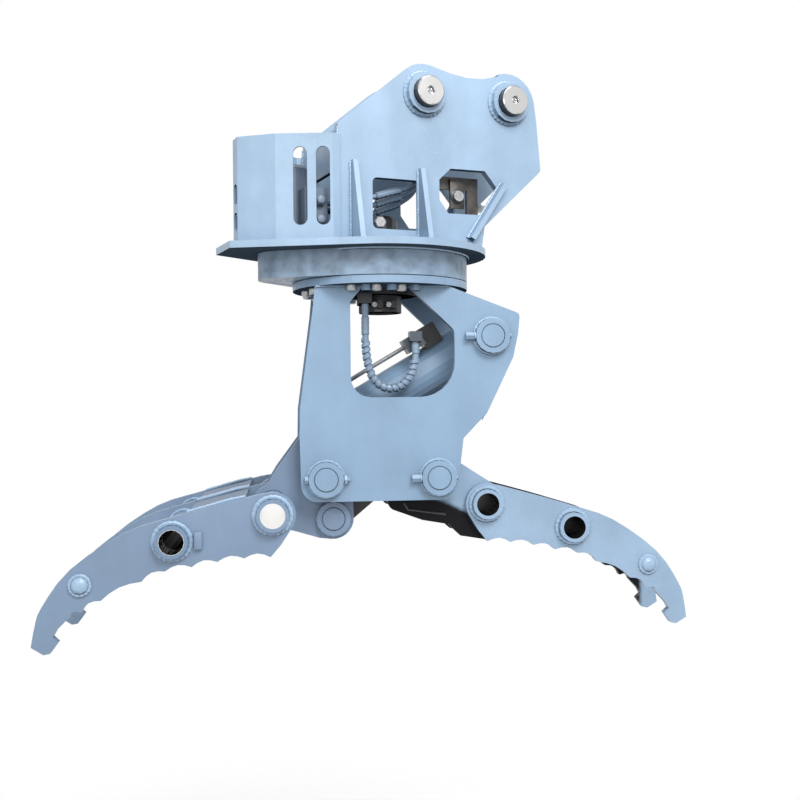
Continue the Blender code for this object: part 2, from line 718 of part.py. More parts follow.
def build_flange():
    """Slewing flange with its bolt heads; the ones over the body plates are left out."""
    eyes = [((0.0, 0.0), CORE_R + 30.0, None, None)]
    head_r = 11.5
    for i in range(BOLT_COUNT):
        angle = radians(-86.0) + 2 * pi * i / BOLT_COUNT
        place = turned((FLANGE_R - 44.5, 0.0), angle)
        if BODY_INNER - head_r < abs(place.y) < BODY_HALF + head_r:
            continue
        eyes.append((place, None, (head_r, FLANGE_Z - 13.0, 6), None))
    outline = circle((0.0, 0.0), FLANGE_R, 48)
    put(plate("slew_flange", outline, FLANGE_Z, FLANGE_Z + FLANGE_T, eyes, axis="Z"), PAINT, lower)


def build_ring_gear():
    """Toothed outer ring of the bearing; a tooth space faces the pinion."""
    phase = pi + REST_SLEW + pi / RING_TEETH
    outline = gear_outline(RING_TEETH, phase, 1)
    bore = bored((0.0, 0.0), RACE_R, 48)
    put(prism("ring_gear", outline, GEAR_Z, GEAR_Z + RING_H, axis="Z", holes=[bore]), MACHINED, lower)


def build_swivel_housing():
    """Oil swivel under the flange, its elbow to the cylinder hose and two plugs."""
    top = FLANGE_Z - GAP
    bottom = FLANGE_Z - 52.0
    bore = (CORE_R + GAP) / cos(pi / 16)
    profile = [(bore, bottom), (52.0, bottom), (52.0, top - 12.0), (85.0, top - 12.0), (85.0, top), (bore, top)]
    housing = put(lathe("swivel_housing", profile), DARK_PAINT, lower)
    for number, x in enumerate((-8.0, 26.0), 1):
        plug = rod_mesh(f"swivel_plug_{number}", 10.0, -68.0, -44.0, "Y", 6)
        joined(housing, plug, lower, "UNION", (x, 0.0, bottom + 16.0))
    corners = [Vector(p) for p in ((-59.0, -106.0), (-29.0, -106.0), (-29.0, -30.0), (-59.0, -30.0))]
    elbow = put(prism("swivel_elbow", corners, HOSE_TOP + GAP, top - 12.0 - GAP, axis="Z"), DARK_PAINT, lower)
    seat = hole_mesh("swivel_seat", 52.0 + GAP, bottom, top, "Z")
    joined(elbow, seat, lower, "DIFFERENCE")


def build_cylinder_hose():
    """Hose hanging in a loop from the swivel's elbow to the cylinder's fitting."""
    route = [Vector((x - SLEW_X, -HOSE_Y, z)) for x, z in HOSE_ROUTE]
    tube_curve("cylinder_hose", smooth_through(route), HOSE_R, HOSE_PAINT, lower)


def body_outline():
    """Side plate from the flange down to the jaw pins, out to the cylinder pin, with its open-topped window."""
    top = FLANGE_Z - GAP
    return wrapped(
        (-151.0, top),
        (-156.0, top - 52.0),
        (-JAW_X - 57.5, 164.0, 0.0),
        (-JAW_X - 59.0, 96.0),
        (-JAW_X - 18.0, -13.0, 38.5),
        (JAW_X + 8.0, -13.0, 38.5),
        (JAW_X + 60.0, 90.0),
        (CYLINDER_PIN.x + 47.0, 92.0, -82.0),
        (CYLINDER_PIN.x + 51.0, CYLINDER_PIN.y - 49.0),
        (CYLINDER_PIN.x + 63.0, CYLINDER_PIN.y + 5.0),
        (CYLINDER_PIN.x + 56.0, CYLINDER_PIN.y + 45.0, 11.0),
        (158.0, top),
        (64.0, top),
        (151.0, 333.0, -20.0),
        (91.0, 267.0, -80.0),
        (-24.5, 233.0, -46.0),
        (-70.5, 407.0),
        (-40.0, top),
    )


def build_body_plates():
    """Front and rear body plates, bored for the two jaw pins and the cylinder pin."""
    for side, name in ((-1, "body_plate_front"), (1, "body_plate_rear")):
        low, high = sorted((side * BODY_HALF, side * BODY_INNER))
        eyes = []
        for pin in (JAW_LEFT, JAW_RIGHT, CYLINDER_PIN):
            outer = (BOSS_R, side * (BODY_HALF + BOSS_OUT))
            inner = (BARREL_EYE_R, side * BARREL_EYE_HALF) if pin is CYLINDER_PIN else None
            eyes.append((pin, PIN_R + GAP, outer, inner) if side < 0 else (pin, PIN_R + GAP, inner, outer))
        made = put(plate(name, body_outline(), low, high, eyes), PAINT, lower, BODY_PLACE)
        if side < 0:
            for pin, cutter in bolt_holes.items():
                boolean(made, cutter, "DIFFERENCE")


def build_pins():
    """The two jaw pins and the cylinder pin, each locked by a bolt through its front boss."""
    end = BODY_HALF + BOSS_OUT
    bolt_y = BODY_HALF + BOSS_OUT / 2
    for name, pin in (("left", JAW_LEFT), ("right", JAW_RIGHT), ("cylinder", CYLINDER_PIN)):
        place = (pin.x - SLEW_X, 0.0, pin.y)
        made = put(rod_mesh(f"{name}_pin", PIN_R, -end, end, chamfer=1.5), PAINT, lower, place)
        hole_place = (place[0], -bolt_y, place[2])
        hole = rod_mesh(f"{name}_bolt_hole", BOLT_R + GAP, -BOSS_R - 4.0, BOSS_R + 4.0, "X", 16)
        bolt_holes[name] = joined(made, hole, lower, "DIFFERENCE", hole_place)
        head_l, tail_l = (8.0, 14.0) if name == "left" else (22.0, 3.0)
        seat = BOSS_R + GAP
        shank = (BOLT_R, seat + tail_l, 16)
        bolt = plate(f"{name}_lock_bolt", circle((0.0, 0.0), 9.5, 6), -seat - head_l, -seat,
                     [((0.0, 0.0), None, None, shank)], axis="X")
        put(bolt, STEEL, lower, hole_place)


# Jaws

def arm_eye(centre, bore, side, outer, inner):
    """An eye of an arm plate, its bosses given by radius and distance from the middle plane."""
    outer = (outer[0], side * outer[1]) if outer else None
    inner = (inner[0], side * inner[1]) if inner else None
    return (centre, bore, outer, inner) if side < 0 else (centre, bore, inner, outer)


def left_arm_outline():
    """Arm of the left jaw: a horn for the rod pin, a lobe for the link pin and a lobe round the first tube."""
    return wrapped(
        (LINK_PIN.x, LINK_PIN.y, 48.0),
        (14.0, -139.0),
        (74.0, -121.0),
        (TUBE_1.x, TUBE_1.y, LOBE_R),
        (134.0, -13.0),
        (113.0, 22.0),
        (60.0, 94.0),
        (38.0, 122.0, 10.0),
        (ROD_PIN.x, ROD_PIN.y, 46.0),
    )


def right_arm_outline():
    """Arm of the right jaw: a lobe for the link's far pin, a belly and a toe under the first tube."""
    tube = turned(TUBE_1, -RIGHT_LEAD)
    return wrapped(
        (FAR_PIN.x, FAR_PIN.y, 46.0),
        (-94.0, -62.0, 17.0),
        (-32.0, -103.0),
        (30.0, -114.0),
        (47.0, -131.0),
        (59.0, -142.0),
        (130.0, -154.0),
        (tube.x, tube.y, LOBE_R),
        (0.0, 0.0, 58.0),
    )


def tine_outline():
    """A curved tine: scalloped gripping edge, hooked tip, smooth back and a round root about the first tube."""
    tips = [(126, -149), (181, -150), (237, -156), (290, -165.5), (345, -173), (393, -193), (476, -230), (516, -254),
            (542, -265)]
    back = [(617, -322), (609, -279), (595.5, -241), (537.5, -164), (427, -91), (327, -60), (249, -40), (153, -17.5)]
    hook = [(566, -289), (573, -302), (562, -313), (579, -336), (592, -338)]
    lobe = wrapped((TUBE_1.x, TUBE_1.y, LOBE_R), (104.0, -124.0), (126.0, -149.0), (153.0, -17.5))
    root = [p for p in lobe if p.x < TUBE_1.x + 4.0]
    start = min(range(len(root)), key=lambda i: -root[i].y)
    root = root[start:] + root[:start]
    return scalloped(tips, 9.0) + [Vector(p) for p in hook] + smooth_through(back, 3) + root


def build_arms(jaw, parent, outline, tube, hub_end, link_eye, horn_eye):
    """The two arm plates of a jaw, bored for the jaw pin, the linkage pins and the first tube."""
    for side, name in ((-1, f"{jaw}_arm_front"), (1, f"{jaw}_arm_rear")):
        low, high = sorted((side * ARM_OUT, side * ARM_INNER))
        eyes = [arm_eye((0.0, 0.0), PIN_R + GAP, side, (HUB_R, BODY_INNER - GAP), (HUB_INNER_R, hub_end))]
        eyes.append(arm_eye(*link_eye[:2], side, *link_eye[2:]))
        if horn_eye:
            eyes.append(arm_eye(*horn_eye[:2], side, *horn_eye[2:]))
        eyes.append(((tube.x, tube.y), TUBE_R + GAP, None, None))
        put(plate(name, outline, low, high, eyes), PAINT, parent)


def hollow_tube(name, outer, bore, half):
    """An open tube across a jaw."""
    return lathe(name, [(bore, -half), (outer, -half), (outer, half), (bore, half)], "Y")


def build_tines(jaw, parent, places, turn, flip):
    """Tines of a jaw with the tubes and the bar that they are threaded on; places are (name, low, high)."""
    def fitted(points):
        points = [turned(p, turn) for p in points]
        return mirrored(points) if flip else points

    tubes = [fitted([p])[0] for p in (TUBE_1, TUBE_2, TIP_BAR)]
    outline = fitted(tine_outline())
    holes = [bored(tubes[0], TUBE_R + GAP), bored(tubes[1], TUBE_R + GAP), bored(tubes[2], TIP_BAR_R + GAP, 16)]
    for name, low, high in places:
        put(prism(f"{jaw}_tine_{name}", outline, low, high, holes=holes), PAINT, parent)
    half = max(high for _, _, high in places)
    for number in (0, 1):
        tube = hollow_tube(f"{jaw}_tube_{number + 1}", TUBE_R, TUBE_BORE, half + TUBE_END)
        put(tube, STEEL if flip else PAINT, parent, (tubes[number].x, 0.0, tubes[number].y))
    bar = rod_mesh(f"{jaw}_tip_bar", TIP_BAR_R, -half - 6.0, half + 6.0, count=16, chamfer=2.0)
    put(bar, PAINT, parent, (tubes[2].x, 0.0, tubes[2].y))


def build_covers():
    """Cover strips between the left tines, just under their backs."""
    top = smooth_through([(178.0, -25.0), (249.0, -42.0), (300.0, -55.0)], 3)
    under = [p - Vector((0.0, COVER_T)) for p in reversed(top)]
    outline = mirrored(under[::-1] + top[::-1])
    inner = PLATE_T / 2 + GAP
    outer = TINE_OUT - PLATE_T - GAP
    for name, low, high in (("front", -outer, -inner), ("rear", inner, outer)):
        put(prism(f"left_cover_{name}", outline, low, high), PAINT, left_hinge)


def build_linkage_pins():
    """The link pin and rod pin of the left jaw and the link's far pin on the right jaw."""
    ring = ARM_OUT + 16.0
    pin = rod_mesh("link_pin", LINK_PIN_R, -ring, ring, chamfer=1.5)
    put(pin, PAINT, left_hinge, (-LINK_PIN.x, 0.0, LINK_PIN.y))
    pin = rod_mesh("rod_pin", ROD_PIN_R, -ARM_OUT - 8.0, ARM_OUT + 8.0)
    put(pin, MACHINED, left_hinge, (-ROD_PIN.x, 0.0, ROD_PIN.y))
    pin = rod_mesh("far_link_pin", FAR_PIN_R, -ARM_OUT - 8.0, ARM_OUT + 8.0)
    put(pin, MACHINED, right_hinge, (FAR_PIN.x, 0.0, FAR_PIN.y))


def build_jaws():
    """Both jaws: arms, tines, tubes, bars, covers and pins."""
    hub = LINK_HALF + GAP
    left_link = ((-LINK_PIN.x, LINK_PIN.y), LINK_PIN_R + GAP, (40.0, ARM_OUT + 16.0), (38.0, hub))
    left_horn = ((-ROD_PIN.x, ROD_PIN.y), ROD_PIN_R + GAP, None, (32.0, ROD_EYE_HALF + GAP))
    right_link = ((FAR_PIN.x, FAR_PIN.y), FAR_PIN_R + GAP, None, (26.0, hub))
    left_tube = Vector((-TUBE_1.x, TUBE_1.y))
    build_arms("left", left_hinge, mirrored(left_arm_outline()), left_tube, GAP / 2, left_link, left_horn)
    build_arms("right", right_hinge, right_arm_outline(), turned(TUBE_1, -RIGHT_LEAD), hub, right_link, None)
    outer = TINE_OUT - PLATE_T
    places = [("front", -TINE_OUT, -outer), ("middle", -PLATE_T / 2, PLATE_T / 2), ("rear", outer, TINE_OUT)]
    build_tines("left", left_hinge, places, 0.0, True)
    inner = ARM_OUT + GAP
    places = [("front", -inner - PLATE_T, -inner), ("rear", inner, inner + PLATE_T)]
    build_tines("right", right_hinge, places, -RIGHT_LEAD, False)
    build_covers()
    build_linkage_pins()


def build_link():
    """Sync link between the jaws, with a close eye on the left and a wide one on the right."""
    outline = wrapped((0.0, 0.0, LINK_PIN_R + 13.0), (LINK_SPAN.x, LINK_SPAN.y, FAR_BORE + EYE_WALL))
    holes = [bored((0.0, 0.0), LINK_PIN_R + GAP), bored(LINK_SPAN, FAR_BORE)]
    put(prism("sync_link", outline, -LINK_HALF, LINK_HALF, holes=holes), PAINT, link_hinge)


# Cylinder, drawn with its pin at the origin and its rod pointing to -X

def build_barrel():
    """Barrel with its eye, and the gland screwed into its open end."""
    base = 62.0
    profile = [(BARREL_BORE, -BARREL_END), (BARREL_R, -BARREL_END), (BARREL_R, -24.0), (BARREL_BORE - 8.0, -16.0)]
    bore = [(BARREL_BORE, -base)]
    solid = Solid("X")
    rings = [solid.ring(circle((0.0, 0.0), r, 24), level) for r, level in bore + profile]
    for near, far in zip(rings, rings[1:]):
        solid.wall(near, far)
    solid.cap(rings[0])
    solid.cap(rings[-1])
    barrel = put(solid.mesh("cylinder_barrel"), PAINT, cylinder_hinge)
    eye = rod_mesh("cylinder_eye", BARREL_EYE_R, GAP - BARREL_EYE_HALF, BARREL_EYE_HALF - GAP)
    joined(barrel, eye, cylinder_hinge)
    bore = hole_mesh("cylinder_eye_bore", PIN_R + GAP, -BARREL_EYE_HALF - 5.0, BARREL_EYE_HALF + 5.0)
    joined(barrel, bore, cylinder_hinge, "DIFFERENCE")
    inside = ROD_R + GAP
    nose = BARREL_BORE - GAP
    gland = [(inside, -BARREL_END + 40.0), (inside, -BARREL_END - 12.0), (BARREL_R - 3.0, -BARREL_END - 12.0),
             (BARREL_R - 3.0, -BARREL_END - GAP), (nose, -BARREL_END - GAP), (nose, -BARREL_END + 40.0)]
    put(lathe("cylinder_gland", gland, "X", 24), MACHINED, cylinder_hinge)


def build_rod():
    """Chromed rod with its piston, and the eye with room for the rod pin's travel."""
    reach = ROD_SPAN.length
    piston = -72.0
    profile = [(BARREL_BORE - GAP, piston), (BARREL_BORE - GAP, piston - 34.0), (ROD_R, piston - 34.0),
               (ROD_R, -reach + ROD_BORE + 4.0)]
    solid = Solid("X")
    rings = [solid.ring(circle((0.0, 0.0), r, 24), level) for r, level in profile]
    for near, far in zip(rings, rings[1:]):
        solid.wall(near, far)
    solid.cap(rings[0])
    solid.cap(rings[-1])
    rod = put(solid.mesh("cylinder_rod"), CHROME, rod_slide)
    eye = Solid("Y")
    outer = circle((0.0, 0.0), ROD_BORE + EYE_WALL)
    inner = bored((0.0, 0.0), ROD_BORE)
    levels = (GAP - ROD_EYE_HALF, ROD_EYE_HALF - GAP)
    rims = [[eye.ring(ring, level) for level in levels] for ring in (outer, inner)]
    for low, high in rims:
        eye.wall(low, high)
    for k in (0, 1):
        eye.cap(rims[0][k], rims[1][k])
    joined(rod, eye.mesh("rod_eye"), rod_slide, "UNION", (-reach, 0.0, 0.0))


def build_ports():
    """Port block and hose fitting on top of the barrel, and the pipe to the rod side."""
    far = -131.0
    block = [Vector(p) for p in ((far, 48.0), (-85.0, 48.0), (-85.0, 100.0), (far, 100.0))]
    made = put(prism("port_block", block, -36.0, 30.0), DARK_PAINT, cylinder_hinge)
    seat = joined(made, rod_mesh("barrel_seat", BARREL_R + GAP, -240.0, -60.0, "X", 24), cylinder_hinge, "DIFFERENCE")
    end = -178.0
    body = [Vector(p) for p in ((end, 62.0), (far - GAP, 62.0), (far - GAP, 97.0), (end, 97.0))]
    fitting = put(prism("hose_fitting", body, -76.0, -14.0), DARK_PAINT, cylinder_hinge)
    hose_end = Vector((HOSE_ROUTE[-1][0], HOSE_ROUTE[-1][1])) - CYLINDER_PIN
    elbow = [Vector(p) for p in ((-14.0, 2 * GAP), (14.0, 2 * GAP), (14.0, 24.0), (-14.0, 24.0))]
    upright = prism("hose_elbow", elbow, -HOSE_Y - 14.0, -62.0)
    place = turned(hose_end, -CYLINDER_TILT)
    joined(fitting, upright, cylinder_hinge, "UNION", (place.x, 0.0, place.y), (0.0, CYLINDER_TILT, 0.0))
    boolean(fitting, seat, "DIFFERENCE")
    route = [Vector(p) for p in ((end - GAP, -30.0, 80.0), (-240.0, -30.0, 80.0), (-310.0, -30.0, 80.0),
                                 (-340.0, -16.0, 78.0), (-350.0, -2.0, 70.0), (-350.0, 0.0, BARREL_R + 6.0),
                                 (-350.0, 0.0, BARREL_R + GAP))]
    tube_curve("cylinder_pipe", smooth_through(route, 3), 5.0, STEEL, cylinder_hinge)


rod_slide = empty("rod_slide", (0.0, 0.0, 0.0), cylinder_hinge)

for side in (-1, 1):
    build_hanger(side)
build_head_pins()
build_base()
build_cross_plate()
build_guard()
build_motor()
build_gear_housing()
build_slewing()
build_head_hoses()
build_hose_guide()
build_flange()
build_ring_gear()
build_swivel_housing()
build_cylinder_hose()
build_pins()
build_body_plates()
build_jaws()
build_link()
build_barrel()
build_rod()
build_ports()
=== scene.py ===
"""Looks of the log grapple: paint, welds, hoses with their wrap and ferrules, fasteners, light and camera.

Lengths are millimetres in the same design frame as the part, and are turned into metres where a mesh is made.
Materials, the camera, the floor and the lights are in metres.
"""
import json
from math import cos, pi, radians, sin

import bmesh
import bpy
from mathutils import Matrix, Vector, noise

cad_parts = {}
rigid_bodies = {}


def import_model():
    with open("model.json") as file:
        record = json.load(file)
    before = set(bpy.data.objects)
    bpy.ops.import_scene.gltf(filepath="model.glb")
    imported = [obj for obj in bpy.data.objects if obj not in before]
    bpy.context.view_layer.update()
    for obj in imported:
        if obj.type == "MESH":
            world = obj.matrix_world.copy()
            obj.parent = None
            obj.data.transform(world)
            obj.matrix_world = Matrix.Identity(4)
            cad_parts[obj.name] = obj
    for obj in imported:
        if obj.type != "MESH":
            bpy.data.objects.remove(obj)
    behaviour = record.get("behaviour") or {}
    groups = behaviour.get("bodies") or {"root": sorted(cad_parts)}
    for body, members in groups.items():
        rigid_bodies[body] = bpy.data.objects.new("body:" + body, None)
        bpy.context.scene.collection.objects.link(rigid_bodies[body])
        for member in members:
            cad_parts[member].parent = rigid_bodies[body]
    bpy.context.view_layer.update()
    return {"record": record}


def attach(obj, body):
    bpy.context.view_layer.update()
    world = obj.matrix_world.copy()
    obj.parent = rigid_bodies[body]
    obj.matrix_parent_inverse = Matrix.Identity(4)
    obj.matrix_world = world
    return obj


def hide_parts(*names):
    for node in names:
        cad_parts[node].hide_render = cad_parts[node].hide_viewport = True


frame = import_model()

MM = 0.001
ORIGIN = Vector((75.594, 19.443, 899.3))     # the part's origin in the design frame
REST_SLEW = radians(17.0)                    # head turned to the lower body at rest
SLEW_X = 12.0                                # slewing axis, right of the middle of the jaw pins
JAW_X = 130.0                                # jaw pins, each side of the middle
RIGHT_LEAD = radians(2.4)                    # the right jaw hangs this much further closed
CYLINDER_PIN = (258.7, 327.3)
BODY_PINS = ((-JAW_X, 0.0), (JAW_X, 0.0), CYLINDER_PIN)
LINK_PIN = (-18.3, -94.4)                    # on the left jaw
HEAD_Z = 540.6                               # top of the base plate
BASE_Z = 524.3                               # its underside, on the drum
HEAD_PINS = (66.5, 290.5)                    # stick pin and bucket-link pin, along the head
PIN_Z = 899.3                                # both of the head's pins
PIN_FACE_R = 33.8                            # their turned ends, inside the painted shade on the pins' sides
HEAD_PIN_END = 40.0                          # their ends past the hanger plates
HEAD_HALF = 125.0                            # outer faces of the hanger plates
GUSSETS = ((-114.5, 184.0), (54.5, 177.0))   # along the head, and the height of their beads
FLANGE_Z = 444.0                             # underside of the slewing flange
BOLT_COUNT = 18
BOLT_CIRCLE = 167.0                          # radius of the flange bolts' circle
BODY_HALF = 140.0                            # outer faces of the body plates
BOSS_OUT = 20.0                              # the body's pin bosses past its plates
ARM_OUT = 90.0                               # outer faces of the arm plates
TINE_OUT = 319.0                             # outer faces of the left jaw's outer tines
RIGHT_TINE_OUT = 110.3                       # outer faces of the right jaw's tines
TINE_PLATE = 20.0
TUBES = ((121.0, -61.0), (330.0, -111.0))    # outwards from the jaw pin, and height
TUBE_BORE = 26.5                             # just outside the bore's wall
TIP_BAR = (518.0, -197.0)
HOSE_Y = -90.0                               # the cylinder hose's plane
HOSE_R = 7.6                                 # cylinder hose under its wrap
WRAP_R = 10.4
HEAD_HOSE_R = 6.3
FERRULE_R = 9.2                              # on the head's hoses
HOSE_END_R = 9.4                             # ferrules of the cylinder hose
FINE = 2.0                                   # step of the finely cut hose lines
WELD_OFF = 1.5                               # a bead's middle stands this far off its plates


# Places: each turns design millimetres into the part's metres

def at_body(x, y, z):
    """A place on the lower body."""
    return (Vector((x, y, z)) - ORIGIN) * MM


def at_head(x, y, z):
    """A place on the head, measured from the slewing axis along the head."""
    c, s = cos(REST_SLEW), sin(REST_SLEW)
    return at_body(SLEW_X + c * x - s * y, s * x + c * y, z)


def at_left(out, y, z):
    """A place on the left jaw, measured outwards from its pin."""
    return at_body(-JAW_X - out, y, z)


def at_right(out, y, z):
    """A place on the right jaw, measured outwards from its pin before its lead."""
    c, s = cos(-RIGHT_LEAD), sin(-RIGHT_LEAD)
    return at_body(JAW_X + c * out - s * z, y, s * out + c * z)


def head_step(x, y):
    """A step on the head, x along it and y across it, as a vector in metres."""
    return at_head(x, y, 0) - at_head(0, 0, 0)


HEAD_LEFT = tuple(head_step(-1, 0))          # each a step of one millimetre
HEAD_ALONG = head_step(1, 0)
HEAD_FRONT = head_step(0, -1)


# Materials

class Nodes:
    """A node tree built up step by step."""

    def __init__(self, tree):
        self.tree = tree

    def node(self, kind, **settings):
        """A new node with its settings."""
        made = self.tree.nodes.new(kind)
        for key, value in settings.items():
            setattr(made, key, value)
        return made

    def link(self, source, target):
        """A wire from an output to an input."""
        self.tree.links.new(source, target)

    def feed(self, source, target):
        """An input that takes a socket's value, or a fixed one."""
        if isinstance(source, bpy.types.NodeSocket):
            self.link(source, target)
        else:
            target.default_value = source

    def math(self, operation, *sources):
        """A number worked out from sockets and numbers."""
        made = self.node("ShaderNodeMath", operation=operation)
        for source, target in zip(sources, made.inputs):
            self.feed(source, target)
        return made.outputs["Value"]

    def vector(self, operation, source, other=(0.0, 0.0, 0.0)):
        """A vector worked out from one or two; a length and a dot product are numbers."""
        made = self.node("ShaderNodeVectorMath", operation=operation)
        self.feed(source, made.inputs[0])
        self.feed(other, made.inputs[1])
        return made.outputs["Value" if operation in ("LENGTH", "DOT_PRODUCT") else "Vector"]

    def span(self, source, start, end, to_start=0.0, to_end=1.0, smooth=False):
        """A value carried from one range to another and held at its ends."""
        made = self.node("ShaderNodeMapRange", interpolation_type="SMOOTHSTEP" if smooth else "LINEAR")
        for key, value in (("From Min", start), ("From Max", end), ("To Min", to_start), ("To Max", to_end)):
            made.inputs[key].default_value = value
        self.link(source, made.inputs["Value"])
        return made.outputs["Result"]


class Shader(Nodes):
    """A node material with one glossy surface, coloured by the place on the piece."""

    def __init__(self, name):
        self.material = bpy.data.materials.new(name)
        self.material.use_nodes = True
        super().__init__(self.material.node_tree)
        self.out = self.tree.nodes["Principled BSDF"]
        self.place = self.node("ShaderNodeTexCoord").outputs["Object"]

    def give(self, source, key):
        """A surface input fed by a socket."""
        self.link(source, self.out.inputs[key])

    def set(self, **values):
        """Fixed values of surface inputs."""
        for key, value in values.items():
            self.out.inputs[key.replace("_", " ")].default_value = value

    def noise(self, scale, detail=3.0, stretch=None):
        """Noise in metres over the piece; stretch scales the three directions."""
        made = self.node("ShaderNodeTexNoise")
        made.inputs["Scale"].default_value = scale
        made.inputs["Detail"].default_value = detail
        place = self.place
        if stretch:
            mapping = self.node("ShaderNodeMapping")
            mapping.inputs["Scale"].default_value = stretch
            self.link(self.place, mapping.inputs["Vector"])
            place = mapping.outputs["Vector"]
        self.link(place, made.inputs["Vector"])
        return made.outputs["Fac"]

    def ramp(self, source, *stops):
        """A colour ramp over a value; stops are (position, colour)."""
        made = self.node("ShaderNodeValToRGB")
        ramp = made.color_ramp
        while len(ramp.elements) < len(stops):
            ramp.elements.new(0.5)
        for element, (position, colour) in zip(ramp.elements, stops):
            element.position = position
            element.color = (*colour, 1.0)
        self.link(source, made.inputs["Fac"])
        return made.outputs["Color"]

    def mix(self, factor, a, b, mode="MIX"):
        """Two colours mixed; each is a socket or a colour, and the factor a socket or a number."""
        made = self.node("ShaderNodeMix", data_type="RGBA", blend_type=mode)
        for source, target in ((factor, made.inputs[0]), (a, made.inputs[6]), (b, made.inputs[7])):
            self.feed((*source, 1.0) if isinstance(source, tuple) else source, target)
        return made.outputs[2]

    def bump(self, height, strength, distance):
        """Fine relief that only the light feels."""
        made = self.node("ShaderNodeBump")
        made.inputs["Strength"].default_value = strength
        made.inputs["Distance"].default_value = distance
        self.link(height, made.inputs["Height"])
        self.give(made.outputs["Normal"], "Normal")

    def underneath(self):
        """How far a face looks down, from 0 on upright faces to 1 on undersides."""
        apart = self.node("ShaderNodeSeparateXYZ")
        self.link(self.node("ShaderNodeNewGeometry").outputs["True Normal"], apart.inputs["Vector"])
        return self.span(apart.outputs["Z"], -0.45, -0.85)

    def off_axis(self, source):
        """How far a place is from the line along Y through the origin."""
        return self.vector("LENGTH", self.vector("MULTIPLY", source, (1.0, 0.0, 1.0)))

    def drift(self, colour, pale):
        """Slow colour drift of old paint between a deeper and a paler tone."""
        return self.ramp(self.noise(7.0, 4.0), (0.3, scaled(colour, 0.88)), (0.7, pale))


def grey(value):
    """A grey colour."""
    return (value, value, value)


def scaled(colour, factor):
    """A colour made darker or paler, up to white."""
    return tuple(min(1.0, c * factor) for c in colour)


def paint(name, colour, rough=0.42, grain=1.0):
    """Sprayed enamel: slow colour drift, orange peel, dust specks and a thin sheen, with painted shade that
    darkens and dulls it on faces that look down.
    """
    shader = Shader(name)
    specks = shader.ramp(shader.noise(420.0, 1.0), (0.69, grey(0.0)), (0.76, grey(1.0)))
    dusty = shader.mix(specks, shader.drift(colour, scaled(colour, 1.07)), scaled(colour, 1.35))
    runs = shader.ramp(shader.noise(16.0, 5.0, (1.0, 1.0, 0.16)), (0.35, grey(0.93)), (0.65, grey(1.0)))
    weathered = shader.mix(1.0, dusty, runs, "MULTIPLY")
    underside_shade = shader.underneath()
    # Painted shade: faces that look down are darkened towards a sixth of the paint's colour
    shader.give(shader.mix(underside_shade, weathered, scaled(colour, 0.16)), "Base Color")
    sheen = shader.ramp(shader.noise(38.0, 4.0), (0.3, grey(rough - 0.07)), (0.7, grey(rough + 0.09)))
    shader.give(sheen, "Roughness")
    shader.bump(shader.noise(260.0, 2.0), 0.16 * grain, 0.0007)
    shader.set(Coat_Roughness=0.3)
    shader.give(shader.span(underside_shade, 0.0, 1.0, 0.18, 0.0), "Coat Weight")
    shader.give(shader.span(underside_shade, 0.0, 1.0, 1.5, 1.0), "IOR")
    return shader.material


def metal(name, colour, rough, brushed=(1.0, 1.0, 1.0), scale=160.0, stain=0.85):
    """Machined or polished steel with fine tool marks and a little staining."""
    shader = Shader(name)
    marks = shader.noise(scale, 3.0, brushed)
    stained = shader.ramp(shader.noise(22.0, 4.0), (0.35, scaled(colour, stain)), (0.65, colour))
    shader.give(stained, "Base Color")
    shader.give(shader.ramp(marks, (0.3, grey(rough * 0.75)), (0.7, grey(rough * 1.35))), "Roughness")
    shader.bump(marks, 0.08, 0.0004)
    shader.set(Metallic=1.0)
    return shader.material


def turned_face(name, colour, rough, centres):
    """Steel turned on a lathe: fine rings round the pins' own axes, which run along the head's Y."""
    shader = Shader(name)
    c, s = cos(-REST_SLEW), sin(-REST_SLEW)
    rings = None
    for centre in centres:
        mapping = shader.node("ShaderNodeMapping", vector_type="POINT")
        mapping.inputs["Rotation"].default_value = (0.0, 0.0, -REST_SLEW)
        mapping.inputs["Location"].default_value = (-(c * centre.x - s * centre.y), 0.0, -centre.z)
        shader.link(shader.place, mapping.inputs["Vector"])
        away = shader.off_axis(mapping.outputs["Vector"])
        rings = away if rings is None else shader.math("MINIMUM", rings, away)
    wave = shader.span(shader.math("SINE", shader.math("MULTIPLY", rings, 4200.0)), -1.0, 1.0)
    tone = shader.ramp(wave, (0.0, scaled(colour, 0.9)), (1.0, colour))
    # Painted shade: past the turned face, the pin's side is painted near-black
    rim = shader.math("GREATER_THAN", rings, PIN_FACE_R * MM)
    shader.give(shader.mix(rim, tone, (0.07, 0.07, 0.075)), "Base Color")
    shader.bump(wave, 0.12, 0.0002)
    shader.set(Metallic=1.0, Roughness=rough)
    return shader.material


def bored_tube(name, colour, steel, axis, bright=True, rim=None):
    """Paint outside and turned steel, or near-black painted shade, inside a tube that runs along Y through a
    point.

    With a rim, the steel is bright only further than that from the middle of the tube, with painted shade
    between.
    """
    shader = Shader(name)
    away = shader.off_axis(shader.vector("SUBTRACT", shader.place, axis))
    inside = shader.math("LESS_THAN", away, TUBE_BORE * MM)
    shine = inside
    if rim is not None:
        apart = shader.node("ShaderNodeSeparateXYZ")
        shader.link(shader.place, apart.inputs["Vector"])
        near = shader.span(shader.math("ABSOLUTE", apart.outputs["Y"]), rim - 0.006, rim + 0.006)
        steel = shader.mix(near, grey(0.006), steel)
        shine = shader.math("MULTIPLY", near, inside)
        shader.set(Specular_IOR_Level=0.1)
    shader.give(shader.mix(inside, shader.drift(colour, colour), steel), "Base Color")
    if bright:
        shader.give(shine, "Metallic")
    else:
        shader.give(shader.span(inside, 0.0, 1.0, 0.5, 0.06), "Specular IOR Level")
    shader.give(shader.span(shine, 0.0, 1.0, 0.42, 0.12 if bright else 0.6), "Roughness")
    shader.bump(shader.noise(260.0, 2.0), 0.12, 0.0006)
    return shader.material


